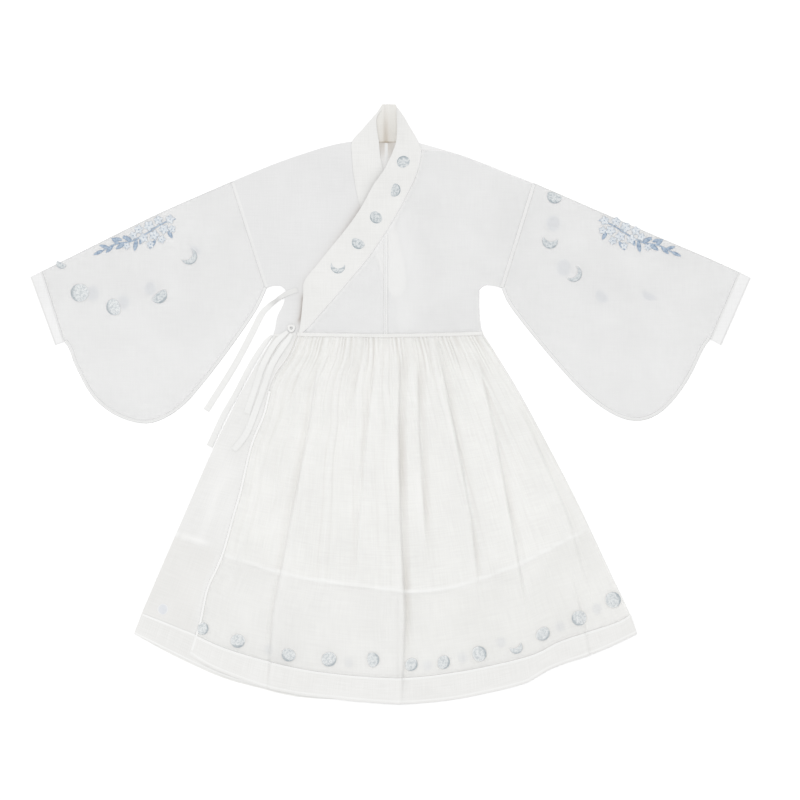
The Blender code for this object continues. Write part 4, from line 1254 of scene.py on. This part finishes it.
def thread_finish(name, pale, deep, rim, blotches=0.7, both_sides=False, fade=None):
    """Satin stitch: fine shining threads side by side, mottled, and deeper along the rim.

    A fade is the colour of the cloth that a motif melts into where it is seen through cloth."""
    thread = Finish(name, 0.5, 0.3, 0.1)
    node, figured = thread.node, thread.figured

    def ramp(value, low, high, first=0.0, last=1.0):
        made = node("ShaderNodeMapRange", Value=value, From_Min=low, From_Max=high,
                    To_Min=first, To_Max=last)
        made.interpolation_type = "SMOOTHSTEP"
        return made.outputs["Result"]

    def humped(share):
        """0 at both ends of a patch and 1 in its middle."""
        return figured("MULTIPLY", figured("MULTIPLY", share, figured("SUBTRACT", 1, share)), 4)

    def off_middle(value):
        return figured("ABSOLUTE", figured("SUBTRACT", value, 0.5))

    threads = thread.map_of("threads")
    mottle = node("ShaderNodeTexNoise", Vector=threads, Scale=190.0, Detail=3.0)
    curl = node("ShaderNodeTexNoise", Vector=threads, Scale=330.0, Detail=1.0)
    ring = ramp(off_middle(curl.outputs["Fac"]), 0.0, 0.05, 0.75, 0.0)
    split = node("ShaderNodeSeparateXYZ", Vector=thread.map_of("shape"))
    across = split.outputs["X"]
    if both_sides:
        across = figured("SUBTRACT", 0.5, off_middle(across))
    edge = ramp(across, 0.0, 0.24, rim, 0.0)
    mottled = ramp(mottle.outputs["Fac"], 0.42, 0.66, 0.0, blotches)
    depth = figured("MINIMUM", figured("ADD", figured("MAXIMUM", mottled, ring), edge), 1.0)
    colour = thread.mixed(depth, pale, deep)
    if fade:
        inside_it = figured("MULTIPLY", humped(across), humped(split.outputs["Y"]))
        colour = thread.mixed(ramp(inside_it, 0.05, 0.75), fade, colour)
    lay = node("ShaderNodeTexWave", Vector=threads, Scale=math.tau / 0.012, Distortion=1.5,
               Detail=1.0)
    lay.bands_direction = "DIAGONAL"
    return thread.done(colour, lay.outputs["Fac"], 0.5, 0.0003)


moon_thread = thread_finish("moon_thread", (0.70, 0.72, 0.725), (0.33, 0.38, 0.41), 0.8)
light_moon_thread = thread_finish("light_moon_thread", (0.765, 0.78, 0.78),
                                  (0.37, 0.415, 0.44), 0.85, blotches=0.55)
pale_moon_thread = thread_finish("pale_moon_thread", (0.63, 0.655, 0.69),
                                 (0.56, 0.58, 0.62), 0.0, fade=(0.80, 0.80, 0.80))
faint_moon_thread = thread_finish("faint_moon_thread", (0.71, 0.725, 0.75),
                                  (0.68, 0.70, 0.73), 0.0, fade=(0.79, 0.79, 0.785))


def inside_sleeve(x, y):
    return MIDDLE + CLOTH / 2


for name, rest, table_rows, thread, larger in (
        ("collar", top_of(outer_collar), MOONS["collar"], moon_thread, 1),
        ("right_sleeve", top_of(right_sleeve), MOONS["right_sleeve"], moon_thread, 1),
        ("right_sleeve_full", top_of(right_sleeve), MOONS["right_sleeve_full"],
         light_moon_thread, 1),
        ("left_sleeve", top_of(left_sleeve), MOONS["left_sleeve"], moon_thread, 1),
        ("skirt", top_of(outer_skirt, outer_hem), MOONS["skirt"], light_moon_thread, 1.08),
        ("right_sleeve_back", inside_sleeve, PALE_MOONS["right_sleeve"], pale_moon_thread, 1),
        ("left_sleeve_back", inside_sleeve, PALE_MOONS["left_sleeve"], pale_moon_thread, 1),
        ("inner_skirt", top_of(inner_skirt), PALE_MOONS["inner_skirt"], faint_moon_thread, 1),
        ("back_skirt", inside_sleeve, PALE_MOONS["back_skirt"], faint_moon_thread, 1)):
    patches = [moon(x, y, radius * larger, *turned) for x, y, radius, *turned in table_rows]
    stitched(name + "_moons", rest, patches, thread)

# ---- Embroidered sprays ----
# A small spray on each sleeve, close below its top fold: a bent stem with blue leaves in satin
# stitch and five-petalled blossoms in pale thread, each with a knot of thread at its heart.
SPRAY_STEM = [(-462, 398), (-490, 388), (-522, 368), (-556, 350), (-590, 344), (-618, 330)]
BLOSSOMS = [
    # place across and up, radius, turn in degrees
    (-474, 397, 10, 10), (-487, 376, 11, 50), (-499, 395, 10, 25), (-508, 363, 11, 5),
    (-519, 383, 11.5, 60), (-531, 357, 10.5, 35), (-541, 375, 10, 15), (-492, 354, 9, 0),
    (-553, 362, 9, 40), (-516, 343, 8.5, 20), (-567, 340, 8, 55), (-470, 376, 8.5, 30),
]
LEAVES = [
    # base across and up, turn in degrees, length, width
    (-556, 350, 150, 22, 9), (-570, 347, 215, 24, 9), (-584, 344, 140, 20, 8),
    (-596, 341, 225, 22, 8), (-606, 336, 165, 20, 7), (-618, 330, 205, 22, 7),
    (-530, 363, 245, 22, 9), (-546, 353, 260, 24, 9), (-505, 352, 235, 22, 8),
    (-478, 372, 300, 18, 8), (-560, 356, 175, 16, 7), (-577, 352, 165, 18, 7),
]


def leaf(across, up, turn, length, width, rows=7, columns=4):
    """Rows of a pointed oval that starts at a point and runs the way it is turned."""
    cos, sin = math.cos(math.radians(turn)), math.sin(math.radians(turn))
    found = []
    for v in even(rows):
        half = width / 2 * math.sin(math.pi * (0.05 + 0.91 * v ** 0.9)) ** 0.8
        row = []
        for u in even(columns):
            aside = half * (2 * u - 1)
            row.append((across + length * v * cos - aside * sin,
                        up + length * v * sin + aside * cos))
        found.append(row)
    return found


def blossom(across, up, radius, turn):
    """Five rounded petals about a point."""
    return [leaf(across, up, turn + 72 * k, radius, 0.86 * radius, rows=5) for k in range(5)]


def ribbon(line, width):
    """Rows along a line of stitches of one width."""
    edges = [beside(line, width * t) for t in (-0.5, 0, 0.5)]
    return [[edge[i] for edge in edges] for i in range(len(line))]


def flipped(patches):
    """The same patches for the other sleeve, with each row turned round to face up."""
    return [[[(-x - 14, y - 3) for x, y in row[::-1]] for row in patch] for patch in patches]


leaf_thread = thread_finish("leaf_thread", (0.45, 0.53, 0.62), (0.15, 0.23, 0.35), 0.6,
                            both_sides=True)
petal_thread = thread_finish("petal_thread", (0.77, 0.795, 0.815), (0.36, 0.42, 0.49), 0.8, 0.5,
                             both_sides=True)
leaves = [leaf(*each) for each in LEAVES] + [ribbon(smooth_line(SPRAY_STEM), 2.6)]
petals = [petal for each in BLOSSOMS for petal in blossom(*each)]
for side_name, sleeve, turned in (("right", right_sleeve, list), ("left", left_sleeve, flipped)):
    rest = top_of(sleeve)
    stitched(side_name + "_spray_leaves", rest, turned(leaves), leaf_thread)
    stitched(side_name + "_spray_petals", rest, turned(petals), petal_thread, clear=0.3)
    knots = [leaf(x - 1.3, y, 0, 2.6, 2.4, rows=4) for x, y, _, _ in BLOSSOMS]
    stitched(side_name + "_spray_hearts", rest, turned(knots), leaf_thread, crown=0.5, clear=0.7)
